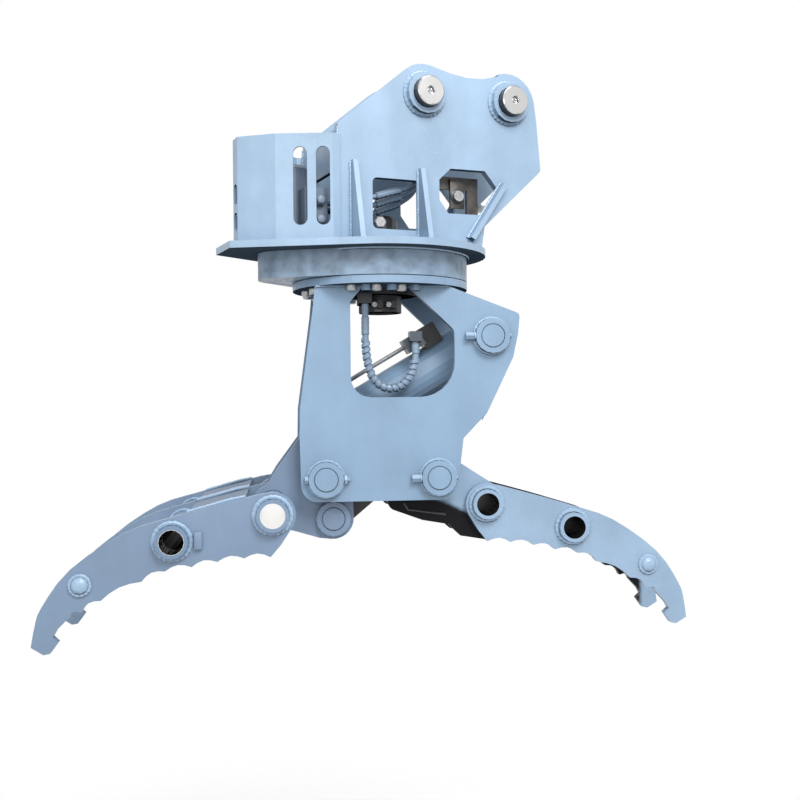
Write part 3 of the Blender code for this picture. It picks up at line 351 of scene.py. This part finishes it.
def zoned(name, colour, dark, edge, towards):
    """Paint that gives way to a dark painted shade past an edge; a short direction makes the edge soft."""
    shader = Shader(name)
    reach = shader.vector("DOT_PRODUCT", shader.vector("SUBTRACT", shader.place, edge), towards)
    uneven = shader.math("MULTIPLY_ADD", shader.noise(30.0, 3.0), 0.012, reach)
    zone = shader.ramp(uneven, (0.001, grey(0.0)), (0.012, grey(1.0)))
    shader.give(shader.mix(zone, shader.drift(colour, colour), dark), "Base Color")
    shader.give(shader.span(zone, 0.0, 1.0, 1.5, 1.18), "IOR")
    gloss = shader.ramp(shader.noise(55.0, 4.0), (0.35, grey(0.3)), (0.65, grey(0.46)))
    shader.give(gloss, "Roughness")
    shader.bump(shader.noise(120.0, 3.0), 0.25, 0.001)
    return shader.material


HEAD_BLUE = (0.218, 0.312, 0.425)
BODY_BLUE = (0.166, 0.256, 0.366)
# The right jaw's blue is a paler, lit copy of the left jaw's: painted light
JAW_BLUE = (0.138, 0.200, 0.292)
LIT_BLUE = (0.210, 0.300, 0.412)
HOUSING_BLUE = (0.255, 0.365, 0.497)
PAINTED_SHADE_BLACK = (0.007, 0.007, 0.009)
PAINTED_SHADE_DARK = (0.060, 0.070, 0.085)
HEAD_PAINT = paint("head_enamel", HEAD_BLUE)
BODY_PAINT = paint("body_enamel", BODY_BLUE)
JAW_PAINT = paint("jaw_enamel", JAW_BLUE)
LIT_PAINT = paint("right_jaw_enamel", LIT_BLUE)
WELD_PAINT = paint("weld_enamel", (0.235, 0.335, 0.455), 0.3, 2.4)
HOSE_PAINT = paint("hose_enamel", (0.165, 0.232, 0.315), 0.42, 1.6)
WRAP = paint("spiral_wrap", (0.180, 0.255, 0.350), 0.28, 1.2)
# The jaw's cover plates take a darker copy of its blue, as painted shade
COVER_PAINT = paint("cover_enamel", (0.120, 0.168, 0.240), 0.85)
# The motor's blue is a darker copy of the paint, as painted shade inside the head
MOTOR_PAINT = paint("motor_enamel", (0.120, 0.160, 0.220), 0.5)
FITTING = paint("dark_fitting", (0.045, 0.058, 0.075), 0.42)
BLACK = paint("black_enamel", (0.014, 0.015, 0.018), 0.38)
SHADE = paint("dark_joint", (0.045, 0.06, 0.085), 0.8)
RAW = metal("raw_steel", (0.16, 0.15, 0.14), 0.5, scale=60.0, stain=0.5)
PLATED = metal("plated_steel", (0.42, 0.43, 0.44), 0.36)
MACHINED = metal("machined_steel", (0.34, 0.34, 0.35), 0.42)
CHROME = metal("chrome_rod", (0.78, 0.78, 0.79), 0.08, (1.0, 12.0, 12.0), 90.0, 0.95)
PIN_STEEL = turned_face("turned_pin_steel", grey(0.60), 0.27, [at_head(x, 0, PIN_Z) for x in HEAD_PINS])
# Meant as painted shade on the cup, but a direction as short as this spreads the dark nearly evenly over the
# housing, in faint patches
HOUSING_PAINT = zoned("housing_enamel", HOUSING_BLUE, PAINTED_SHADE_DARK, at_head(-226.0, 0, 0), HEAD_LEFT)
# Painted shade: the right arms turn black below a slanted line, and the far right tine short of its tip
ARM_PAINT = zoned("right_arm_enamel", LIT_BLUE, PAINTED_SHADE_BLACK, at_body(115, 0, -45), (-0.409, 0.0, -0.913))
TINE_PAINT = zoned("right_tine_enamel", LIT_BLUE, PAINTED_SHADE_BLACK, at_body(690, 0, 0), (-1.0, 0.0, 0.0))

for body, nodes in frame["record"]["behaviour"]["bodies"].items():
    look = {"head": HEAD_PAINT, "left_jaw": JAW_PAINT, "right_jaw": LIT_PAINT}.get(body, BODY_PAINT)
    for node in nodes:
        bpy.data.objects[node].data.materials.clear()
        bpy.data.objects[node].data.materials.append(look)
for look, nodes in (
    (PIN_STEEL, ("stick_pin", "bucket_link_pin")),
    (COVER_PAINT, ("left_cover_front", "left_cover_rear")),
    (HOUSING_PAINT, ("gear_housing",)),
    (MOTOR_PAINT, ("slew_motor", "motor_port_block")),
    # sync_link takes the black as painted shade, like the right arms' lower parts
    (BLACK, ("swivel_core", "swivel_housing", "swivel_elbow", "port_block", "sync_link")),
    (FITTING, ("hose_fitting",)),
    (RAW, ("hose_guide",)),
    (ARM_PAINT, ("right_arm_front", "right_arm_rear")),
    (TINE_PAINT, ("right_tine_rear",)),
    (MACHINED, ("bearing_inner_ring", "pinion", "ring_gear", "rod_pin", "far_link_pin", "cylinder_gland")),
    (CHROME, ("cylinder_rod",)),
    (PLATED, ("cylinder_pipe",)),
):
    for node in nodes:
        bpy.data.objects[node].data.materials[0] = look
for number, (out, z) in enumerate(TUBES, 1):
    shade = (0.92, 0.91, 0.90) if number == 1 else (0.85, 0.85, 0.85)
    # Left tube 2's bore is painted shade deep inside, and bright steel only near its ends
    rim = None if number == 1 else (TINE_OUT - 40.0) * MM
    bright = bored_tube(f"left_tube_{number}_bore", JAW_BLUE, shade, at_left(out, 0, z), rim=rim)
    bpy.data.objects[f"left_tube_{number}"].data.materials[0] = bright
    # The right tubes' bores are painted near-black, as painted shade
    dim = bored_tube(f"right_tube_{number}_bore", LIT_BLUE, (0.006, 0.006, 0.007), at_right(out, 0, z), False)
    bpy.data.objects[f"right_tube_{number}"].data.materials[0] = dim


# Meshes

def piece(name, bm, look, body):
    """An object of a finished bmesh, riding on a body."""
    bmesh.ops.recalc_face_normals(bm, faces=bm.faces)
    mesh = bpy.data.meshes.new(name)
    bm.to_mesh(mesh)
    bm.free()
    mesh.shade_smooth()
    mesh.set_sharp_from_angle(angle=radians(35))
    mesh.materials.append(look)
    made = bpy.data.objects.new(name, mesh)
    bpy.context.collection.objects.link(made)
    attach(made, body)
    return made


def resampled(points, step):
    """Points at even steps along a line."""
    line = [points[0].copy()]
    left = step
    for a, b in zip(points, points[1:]):
        length = (b - a).length
        while left < length:
            line.append(a.lerp(b, left / length))
            left += step
        left -= length
    if (line[-1] - points[-1]).length > step * 0.3:
        line.append(points[-1].copy())
    return line


def skin(bm, pairs):
    """Faces between neighbouring rings of corners."""
    for low, high in pairs:
        for k in range(len(low)):
            after = (k + 1) % len(low)
            bm.faces.new((low[k], low[after], high[after], high[k]))


def cap(bm, rings):
    """Faces over the first and the last ring."""
    bm.faces.new(rings[0][::-1])
    bm.faces.new(rings[-1])


def sweep(bm, points, radii, closed=False, sides=8):
    """A round skin along points with a radius at each."""
    count = len(points)
    rings = []
    side = None
    for i, point in enumerate(points):
        ahead = points[(i + 1) % count] if closed or i + 1 < count else point
        behind = points[i - 1] if closed or i else point
        along = (ahead - behind).normalized()
        if side is None:
            side = along.orthogonal().normalized()
        side = (side - along * side.dot(along)).normalized()
        other = along.cross(side)
        rings.append([bm.verts.new(point + (side * cos(turn) + other * sin(turn)) * radii[i])
                      for turn in (2 * pi * k / sides for k in range(sides))])
    pairs = list(zip(rings, rings[1:]))
    if closed:
        last, first = rings[-1], rings[0]
        shift = min(range(sides), key=lambda k: (last[0].co - first[k].co).length)
        pairs.append((last, first[shift:] + first[:shift]))
    skin(bm, pairs)
    if not closed:
        cap(bm, rings)


def weld(name, body, lines, radius=3.4, look=None):
    """Rippled weld beads along lines; each line is (points in metres, closed)."""
    bm = bmesh.new()
    for points, closed in lines:
        if closed:
            points = points + [points[0]]
        line = resampled(points, radius * 0.62 * MM)
        if closed:
            line = line[:-1]
        radii = []
        for i, p in enumerate(line):
            ripple = 0.13 * sin(i * 2 * pi / 3.3) + 0.22 * noise.noise(p * 160.0)
            radii.append(radius * MM * (1.0 + ripple))
        sweep(bm, line, radii, closed, 7)
    return piece(name, bm, look or WELD_PAINT, body)


def ring(place, centre, y, radius, count=48):
    """A closed circle round an axis along Y."""
    return [place(centre[0] + radius * cos(turn), y, centre[1] + radius * sin(turn))
            for turn in (2 * pi * i / count for i in range(count))]


def axes_for(direction):
    """A turn that carries Z onto a direction."""
    return Vector(direction).to_track_quat("Z", "Y").to_matrix().to_4x4()


def turned_part(bm, centre, direction, profile, sides=24):
    """A turned or hexagonal solid on an axis: profile of (radius, level) in mm from its centre."""
    frame_of = Matrix.Translation(centre) @ axes_for(direction)
    rings = []
    for radius, level in profile:
        reach = radius * MM
        rings.append([bm.verts.new(frame_of @ Vector((reach * cos(turn), reach * sin(turn), level * MM)))
                      for turn in (2 * pi * k / sides for k in range(sides))])
    skin(bm, zip(rings, rings[1:]))
    cap(bm, rings)


def thread(root, crest, start, rise, count):
    """The profile of a screw thread or grooves: root and crest by turns, from a level upwards."""
    return [(crest if i % 2 else root, start + i * rise) for i in range(count)]


def slab(bm, place, low, high, bevel=1.2):
    """A bevelled block between two corners, in a body's own millimetres."""
    x0, y0, z0 = low
    x1, y1, z1 = high
    part = bmesh.new()
    corners = [part.verts.new((x, y, z)) for x in (x0, x1) for y in (y0, y1) for z in (z0, z1)]
    for face in ((0, 1, 3, 2), (4, 6, 7, 5), (0, 4, 5, 1), (2, 3, 7, 6), (0, 2, 6, 4), (1, 5, 7, 3)):
        part.faces.new([corners[i] for i in face])
    bmesh.ops.bevel(part, geom=part.edges[:], offset=bevel, segments=2, affect="EDGES", profile=0.5)
    places = {v: bm.verts.new(place(*v.co)) for v in part.verts}
    for face in part.faces:
        bm.faces.new([places[v] for v in face.verts])
    part.free()


# Camera

AZIMUTH, PITCH, ROLL = -0.1142, -0.0048, 0.0107
forward = Vector((-sin(AZIMUTH) * cos(PITCH), cos(AZIMUTH) * cos(PITCH), -sin(PITCH)))
right0 = Vector((cos(AZIMUTH), sin(AZIMUTH), 0.0))
down0 = forward.cross(right0)
right = cos(ROLL) * right0 + sin(ROLL) * down0
down = cos(ROLL) * down0 - sin(ROLL) * right0
camera = bpy.data.objects.new("camera", bpy.data.cameras.new("camera"))
bpy.context.collection.objects.link(camera)
camera.data.sensor_width = 36.0
camera.data.lens = 48.004
turn = Matrix((right, -down, -forward)).transposed().to_4x4()
camera.matrix_world = Matrix.Translation((-0.31363, -2.60354, -0.73087)) @ turn
bpy.context.scene.camera = camera


# Hoses

def smooth_through(points, pieces=3):
    """A smooth open line through points, with the given number of pieces in each span."""
    pts = [Vector(p) for p in points]
    pts = [2 * pts[0] - pts[1]] + pts + [2 * pts[-1] - pts[-2]]
    line = []
    for a, b, c, d in zip(pts, pts[1:], pts[2:], pts[3:]):
        for k in range(pieces):
            t = k / pieces
            line.append(0.5 * (2 * b + (c - a) * t + (2 * a - 5 * b + 4 * c - d) * t * t
                               + (3 * b - 3 * c + d - a) * t ** 3))
    return line + [pts[-2]]


def hose(name, body, line, radius):
    """A painted hose along a line in metres, in place of the part's own hose, which is hidden."""
    curve = bpy.data.curves.new(name, "CURVE")
    curve.dimensions = "3D"
    curve.bevel_depth = radius * MM
    curve.bevel_resolution = 6
    curve.use_fill_caps = True
    spline = curve.splines.new("POLY")
    spline.points.add(len(line) - 1)
    for target, point in zip(spline.points, line):
        target.co = (*point, 1.0)
    curve.materials.append(HOSE_PAINT)
    made = bpy.data.objects.new(name, curve)
    bpy.context.collection.objects.link(made)
    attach(made, body)
    node = name.replace("_skin", "")
    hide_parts(node)


def length_between(line, start, end):
    """The stretch of a line between two distances from its start, in millimetres."""
    fine = resampled(line, FINE * MM)
    return [p for i, p in enumerate(fine) if start <= i * FINE <= end]


def ferrules(name, body, line, stretches, radius):
    """Crimped ferrules round a hose, each with a collar and crimp rings."""
    bm = bmesh.new()
    for start, end in stretches:
        points = length_between(line, start, end)
        radii = []
        for i in range(len(points)):
            near = min(i, len(points) - 1 - i)
            crimp = -0.35 if (i // 3) % 2 else 0.0
            radii.append((radius + crimp - (1.6 if near == 0 else 0.0)) * MM)
        sweep(bm, points, radii, sides=16)
    return piece(name, bm, HOSE_PAINT, body)


def wrap(name, body, line, start, end):
    """A spiral wrap round a hose: one flat ribbon wound with a small gap between its turns."""
    points = length_between(line, start, end)
    pitch, width, low, high = 14.0, 11.6, HOSE_R + 0.2, WRAP_R
    per_turn = 14
    bm = bmesh.new()
    stations = []
    total = (len(points) - 1) * FINE
    side = None
    frames = []
    for i, point in enumerate(points):
        along = (points[min(i + 1, len(points) - 1)] - points[max(i - 1, 0)]).normalized()
        if side is None:
            side = along.orthogonal().normalized()
        side = (side - along * side.dot(along)).normalized()
        frames.append((point, side, along.cross(side)))
    for step in range(int((total - width) / pitch * per_turn)):
        travel = step * pitch / per_turn
        angle = 2 * pi * step / per_turn
        corners = []
        for offset, reach in ((0.0, low), (0.16, high), (0.84, high), (1.0, low)):
            index = (travel + offset * width) / FINE
            i = min(int(index), len(frames) - 2)
            middle, s, o = frames[i]
            point = middle.lerp(frames[i + 1][0], index - i)
            corners.append(bm.verts.new(point + (s * cos(angle) + o * sin(angle)) * reach * MM))
        stations.append(corners)
    skin(bm, zip(stations, stations[1:]))
    cap(bm, stations)
    return piece(name, bm, WRAP, body)


u_route = [
    (-32, 407), (-32, 375), (-32, 330), (-29, 282), (-19, 241), (2, 216), (27, 208), (55, 217),
    (76, 243), (86, 280), (86, 317.7),
]
u_line = smooth_through([at_body(x, HOSE_Y, z) for x, z in u_route], 6)
u_length = sum((b - a).length for a, b in zip(u_line, u_line[1:])) / MM
u_wrap = wrap("hose_wrap", "lower_body", u_line, 78.0, u_length - 34.0)
u_stretches = [(30.0, 74.0), (u_length - 30.0, u_length - 2.0)]
u_ferrules = ferrules("cylinder_hose_ferrules", "lower_body", u_line, u_stretches, HOSE_END_R)
hose("cylinder_hose_skin", "lower_body", u_line, HOSE_R)

shelf = HEAD_Z + 235.0
rows = ((-84.0, 104.0, 146.0), (-60.0, 86.0, 132.0), (-36.0, 68.0, 118.0))
for number, (y, low, high) in enumerate(rows, 1):
    turn_in = HEAD_Z + max(low - 10.0, 84.0)
    route = [
        (-167.7, turn_in), (-150.0, turn_in), (-132.0, turn_in), (-66.0, HEAD_Z + low + 8.0),
        (-10.0, HEAD_Z + (low + high) / 2 + 4.0), (41.0, HEAD_Z + high), (78.0, HEAD_Z + high + 32.0),
        (93.0, shelf - 32.0), (93.0, shelf - 16.0), (93.0, shelf - 0.3),
    ]
    line = smooth_through([at_head(x, y, z) for x, z in route], 6)
    stretch = (118.0 + 9 * number, 186.0 + 9 * number)
    crimps = ferrules(f"head_hose_{number}_ferrules", "head", line, [stretch], FERRULE_R)
    hose(f"head_hose_{number}_skin", "head", line, HEAD_HOSE_R)


# Welds of the head

plate_z = HEAD_Z + WELD_OFF
lines = []
for side in (-1, 1):
    face = side * (HEAD_HALF + WELD_OFF)
    for x in HEAD_PINS:
        lines.append((ring(at_head, (x, PIN_Z), face, 50.0), True))
weld("boss_welds", "head", lines, 5.0)
lines = []
for side in (-1, 1):
    face = side * (HEAD_HALF + WELD_OFF)
    edge_y = side * (HEAD_HALF - 1.0)
    lines.append(([at_head(-150.0, face, plate_z), at_head(212.0, face, plate_z)], False))
    lines.append(([at_head(-152.5, edge_y, HEAD_Z + 3.0), at_head(-152.0, edge_y, HEAD_Z + 262.0)], False))
    for x, rise in GUSSETS:
        for bead_x in (x - 8.0, x + 8.0):
            lines.append(([at_head(bead_x, face, HEAD_Z + 3.0), at_head(bead_x, face, HEAD_Z + rise)], False))
            outer = side * (HEAD_HALF + 57.0)
            lines.append(([at_head(bead_x, face, plate_z), at_head(bead_x, outer, plate_z)], False))
    foot, tip = Vector((182.0, HEAD_Z + 22.0)), Vector((273.0, HEAD_Z + 160.0))
    across = Vector((-(tip - foot).y, (tip - foot).x)).normalized() * 8.0
    for edge in (-1, 1):
        a, b = foot + across * edge, tip + across * edge
        lines.append(([at_head(a.x, face, a.y), at_head(b.x, face, b.y)], False))
weld("hanger_welds", "head", lines, 3.2)
lines = []
for side in (-1, 1):
    corners = ((-352.0, 16.0), (-286.0, 81.0), (-169.0, 136.5), (-154.0, 133.0))
    lines.append(([at_head(x, side * y, plate_z) for x, y in corners], False))
weld("guard_welds", "head", lines, 3.0)
turns = [radians(-168 + 3 * i) for i in range(113)]
drum_line = [at_head(213.5 * cos(a), 213.5 * sin(a), BASE_Z - 2.0) for a in turns]
weld("drum_welds", "head", [(drum_line, False)], 3.4)

# Welds of the lower body

lines = []
for side in (-1, 1):
    for pin in BODY_PINS:
        lines.append((ring(at_body, pin, side * (BODY_HALF + 1.2), 42.2), True))
weld("body_boss_welds", "lower_body", lines, 3.2)
lines = []
for side in (-1, 1):
    for low, high in ((-149.0, -42.0), (66.0, 156.0)):
        face = side * (BODY_HALF + WELD_OFF)
        lines.append(([at_body(low, face, FLANGE_Z - 2.0), at_body(high, face, FLANGE_Z - 2.0)], False))
weld("flange_welds", "lower_body", lines, 3.4)

# Welds of the jaws

back = [(178.0, -22.0), (210.0, -28.0), (249.0, -38.5), (300.0, -52.0)]
for jaw, place, outs in (("left", at_left, TINE_OUT), ("right", at_right, RIGHT_TINE_OUT)):
    lines = []
    for side in (-1, 1):
        face = side * (outs + WELD_OFF)
        lines += [(ring(place, tube, face, 38.5), True) for tube in TUBES]
    weld(f"{jaw}_tube_welds", f"{jaw}_jaw", lines, 5.2)
    lines = [(ring(place, TIP_BAR, side * (outs + 2.0), 20.5, 32), True) for side in (-1, 1)]
    weld(f"{jaw}_bar_welds", f"{jaw}_jaw", lines, 4.0)
    bm = bmesh.new()
    for side in (-1, 1):
        start = place(TIP_BAR[0], side * (outs + 4.0), TIP_BAR[1])
        dome = [(18.0, -3.0), (18.0, 2.0), (16.0, 5.5), (11.0, 8.5), (5.0, 10.0)]
        turned_part(bm, start, (0, side, 0), dome, 9)
    piece(f"{jaw}_bar_domes", bm, WELD_PAINT, f"{jaw}_jaw")
lines = []
inner = TINE_OUT - TINE_PLATE - WELD_OFF
for y in (-inner, -12.0, 12.0, inner):
    lines.append(([at_left(x, y, z) for x, z in back], False))
for tube in TUBES:
    for y in (-12.0, 12.0, -inner, inner):
        lines.append((ring(at_left, tube, y, 37.0), True))
weld("cover_welds", "left_jaw", lines, 3.6)
# The arm bead is black to match the painted shade round it
face = -ARM_OUT - 1.0
bead = [at_body(JAW_X + x, face, z) for x, z in ((-75.0, -62.0), (-66.0, -77.0), (24.0, -91.0))]
weld("arm_bead", "right_jaw", [(bead, False)], 3.6, BLACK)
bm = bmesh.new()
slab(bm, at_left, (268.0, -TINE_OUT - 9.0, -128.0), (284.0, -TINE_OUT + 0.5, -92.0))
piece("tine_stop_block", bm, JAW_PAINT, "left_jaw")


# Small fasteners and joints

def dark_ring(name, body, rings):
    """The thin open joint round a pin's end."""
    bm = bmesh.new()
    for place, centre, y, radius in rings:
        circle = ring(place, centre, y, radius)
        sweep(bm, circle, [0.55 * MM] * len(circle), True, 6)
    return piece(name, bm, SHADE, body)


ends = [(at_body, pin, side * (BODY_HALF + BOSS_OUT), 27.6) for pin in BODY_PINS for side in (-1, 1)]
dark_ring("pin_joints", "lower_body", ends)
dark_ring("link_pin_joints", "left_jaw", [(at_left, LINK_PIN, side * 106.0, 27.2) for side in (-1, 1)])

bm = bmesh.new()
nipple = [(4.6, -0.5), (4.6, 3.0), (3.0, 4.2), (2.2, 6.0), (3.1, 7.4), (2.6, 9.0), (1.0, 9.6)]
for x in HEAD_PINS:
    for side in (-1, 1):
        foot = at_head(x, side * (HEAD_HALF + HEAD_PIN_END - 8.0), PIN_Z)
        turned_part(bm, foot, head_step(0, side), nipple, 12)
piece("grease_nipples", bm, PLATED, "head")

bm = bmesh.new()
bolt_y = -BODY_HALF - 10.0
# Each lock bolt points one way along X, and ends at a distance from its pin
for pin, way, reach in zip(BODY_PINS, (1, -1, -1), (44.0, 49.0, 49.0)):
    centre = at_body(pin[0] + way * reach, bolt_y, pin[1])
    if way > 0:
        profile = [(8.0, -3.2), (10.6, -2.2), (10.6, 3.6), (8.6, 4.8)]
        turned_part(bm, centre, (way, 0, 0), profile, 6)
        turned_part(bm, centre, (way, 0, 0), thread(5.3, 6.2, 4.8, 0.9, 7), 16)
    else:
        turned_part(bm, centre, (way, 0, 0), [(11.0, -8.0), (11.0, -5.6), (7.0, -5.6)], 20)
piece("lock_nuts", bm, WELD_PAINT, "lower_body")

bm = bmesh.new()
bolt_cap = [(12.0, 0.3), (12.0, 11.0), (10.6, 13.4), (5.0, 14.4)]
for step in range(BOLT_COUNT):
    turn = radians(86.0 - 360.0 / BOLT_COUNT * step)
    x, y = BOLT_CIRCLE * cos(turn), BOLT_CIRCLE * sin(turn)
    if not BODY_HALF - 32.0 < abs(y) < BODY_HALF + 12.0:
        turned_part(bm, at_body(x, y, FLANGE_Z), (0, 0, -1), bolt_cap, 16)
piece("flange_bolt_caps", bm, PLATED, "lower_body")

bm = bmesh.new()
for z in (HEAD_Z + 96.0, HEAD_Z + 52.0):
    centre = at_head(-188.0, -98.0, z)
    turned_part(bm, centre, HEAD_FRONT, [(14.0, -2.0), (14.0, 6.0), (12.0, 7.5)], 6)
    turned_part(bm, centre, HEAD_FRONT, thread(7.6, 9.6, 7.5, 1.7, 7) + [(4.5, 18.5)], 20)
piece("motor_port_plugs", bm, MOTOR_PAINT, "head")

bm = bmesh.new()
slab(bm, at_head, (155.0, -79.0, HEAD_Z + 104.0), (192.0, -70.5, HEAD_Z + 176.0))
piece("hose_clamp_strap", bm, RAW, "head")
bm = bmesh.new()
washer = [(17.5, -0.4), (17.5, 2.6), (16.6, 3.2)]
turned_part(bm, at_head(173.0, -79.0, HEAD_Z + 133.0), HEAD_FRONT, washer, 28)
piece("clamp_washer", bm, BLACK, "head")
bm = bmesh.new()
bolt_head = [(13.5, 0.0), (13.5, 7.0), (12.4, 8.2), (6.0, 8.2), (5.2, 7.2)]
turned_part(bm, at_head(173.0, -82.0, HEAD_Z + 133.0), HEAD_FRONT, bolt_head, 28)
centre = at_head(234.0, -65.0, HEAD_Z + 111.0)
turned_part(bm, centre, HEAD_ALONG, [(12.0, -1.0), (12.0, 9.0), (10.5, 10.0)], 6)
turned_part(bm, centre, HEAD_ALONG, thread(6.6, 7.5, 10.0, 1.4, 8), 16)
nut = [(15.0, -14.0), (15.0, 4.0), (12.6, 5.6), (8.0, 5.6)]
turned_part(bm, at_head(-34.0, -86.0, HEAD_Z + 58.0), HEAD_FRONT, nut, 6)
turned_part(bm, at_head(-34.0, -72.0, HEAD_Z + 58.0), (0, 0, -1), [(8.0, -2.0), (8.0, 58.0)], 16)
piece("clamp_bolts", bm, PLATED, "head")

bm = bmesh.new()
plug_cap = [(7.0, -1.0), (7.0, 3.0), (5.6, 4.0), (3.4, 4.0), (3.4, 1.5)]
for x in (-8.0, 26.0):
    turned_part(bm, at_body(x, -68.0, 408.0), (0, -1, 0), plug_cap, 16)
piece("swivel_plug_caps", bm, PLATED, "lower_body")


# Floor, light and world

bm = bmesh.new()
bmesh.ops.create_circle(bm, cap_ends=True, radius=2.6, segments=96)
floor_mesh = bpy.data.meshes.new("floor")
bm.to_mesh(floor_mesh)
bm.free()
floor = bpy.data.objects.new("floor", floor_mesh)
bpy.context.collection.objects.link(floor)
floor.location = (-0.08, 0.0, -2.3)
floor_look = Shader("pale_floor")
tone = floor_look.ramp(floor_look.noise(1.4, 2.0), (0.4, grey(0.86)), (0.6, grey(0.89)))
floor_look.give(tone, "Base Color")
floor_look.set(Roughness=0.95)
fade = floor_look.span(floor_look.vector("LENGTH", floor_look.place), 0.9, 2.3, smooth=True)
clear = floor_look.node("ShaderNodeBsdfTransparent")
blend = floor_look.node("ShaderNodeMixShader")
floor_look.link(fade, blend.inputs["Fac"])
floor_look.link(floor_look.out.outputs["BSDF"], blend.inputs[1])
floor_look.link(clear.outputs["BSDF"], blend.inputs[2])
floor_look.link(blend.outputs["Shader"], floor_look.tree.nodes["Material Output"].inputs["Surface"])
floor_mesh.materials.append(floor_look.material)


def area_light(name, place, aim, size, power, colour=(1.0, 1.0, 1.0)):
    """A soft square light aimed at a point."""
    data = bpy.data.lights.new(name, "AREA")
    data.shape = "SQUARE"
    data.size = size
    data.energy = power
    data.color = colour
    made = bpy.data.objects.new(name, data)
    bpy.context.collection.objects.link(made)
    made.location = place
    made.rotation_euler = (Vector(aim) - Vector(place)).to_track_quat("-Z", "Y").to_euler()


area_light("key", (0.8, -3.0, 1.9), (-0.05, 0.0, -0.6), 1.6, 156.0, (1.0, 0.99, 0.98))
area_light("fill", (-1.5, -3.2, 0.5), (0.0, 0.0, -0.5), 1.8, 34.0, (0.95, 0.98, 1.0))
area_light("top", (0.2, -0.6, 3.0), (0.0, 0.0, -0.4), 2.2, 60.0)

world = bpy.data.worlds.new("studio")
world.use_nodes = True
studio = Nodes(world.node_tree)
parts = studio.node("ShaderNodeSeparateXYZ")
studio.link(studio.node("ShaderNodeTexCoord").outputs["Generated"], parts.inputs["Vector"])
low_glow = studio.span(parts.outputs["Z"], -0.62, -0.42, 0.8, 1.0, smooth=True)
high_glow = studio.span(parts.outputs["Z"], 0.5, 0.75, 1.0, 0.62, smooth=True)
sky = studio.tree.nodes["Background"]
studio.link(studio.math("MULTIPLY", low_glow, high_glow), sky.inputs["Color"])
sky.inputs["Strength"].default_value = 1.0
bpy.context.scene.world = world
bpy.context.scene.view_settings.view_transform = "Standard"
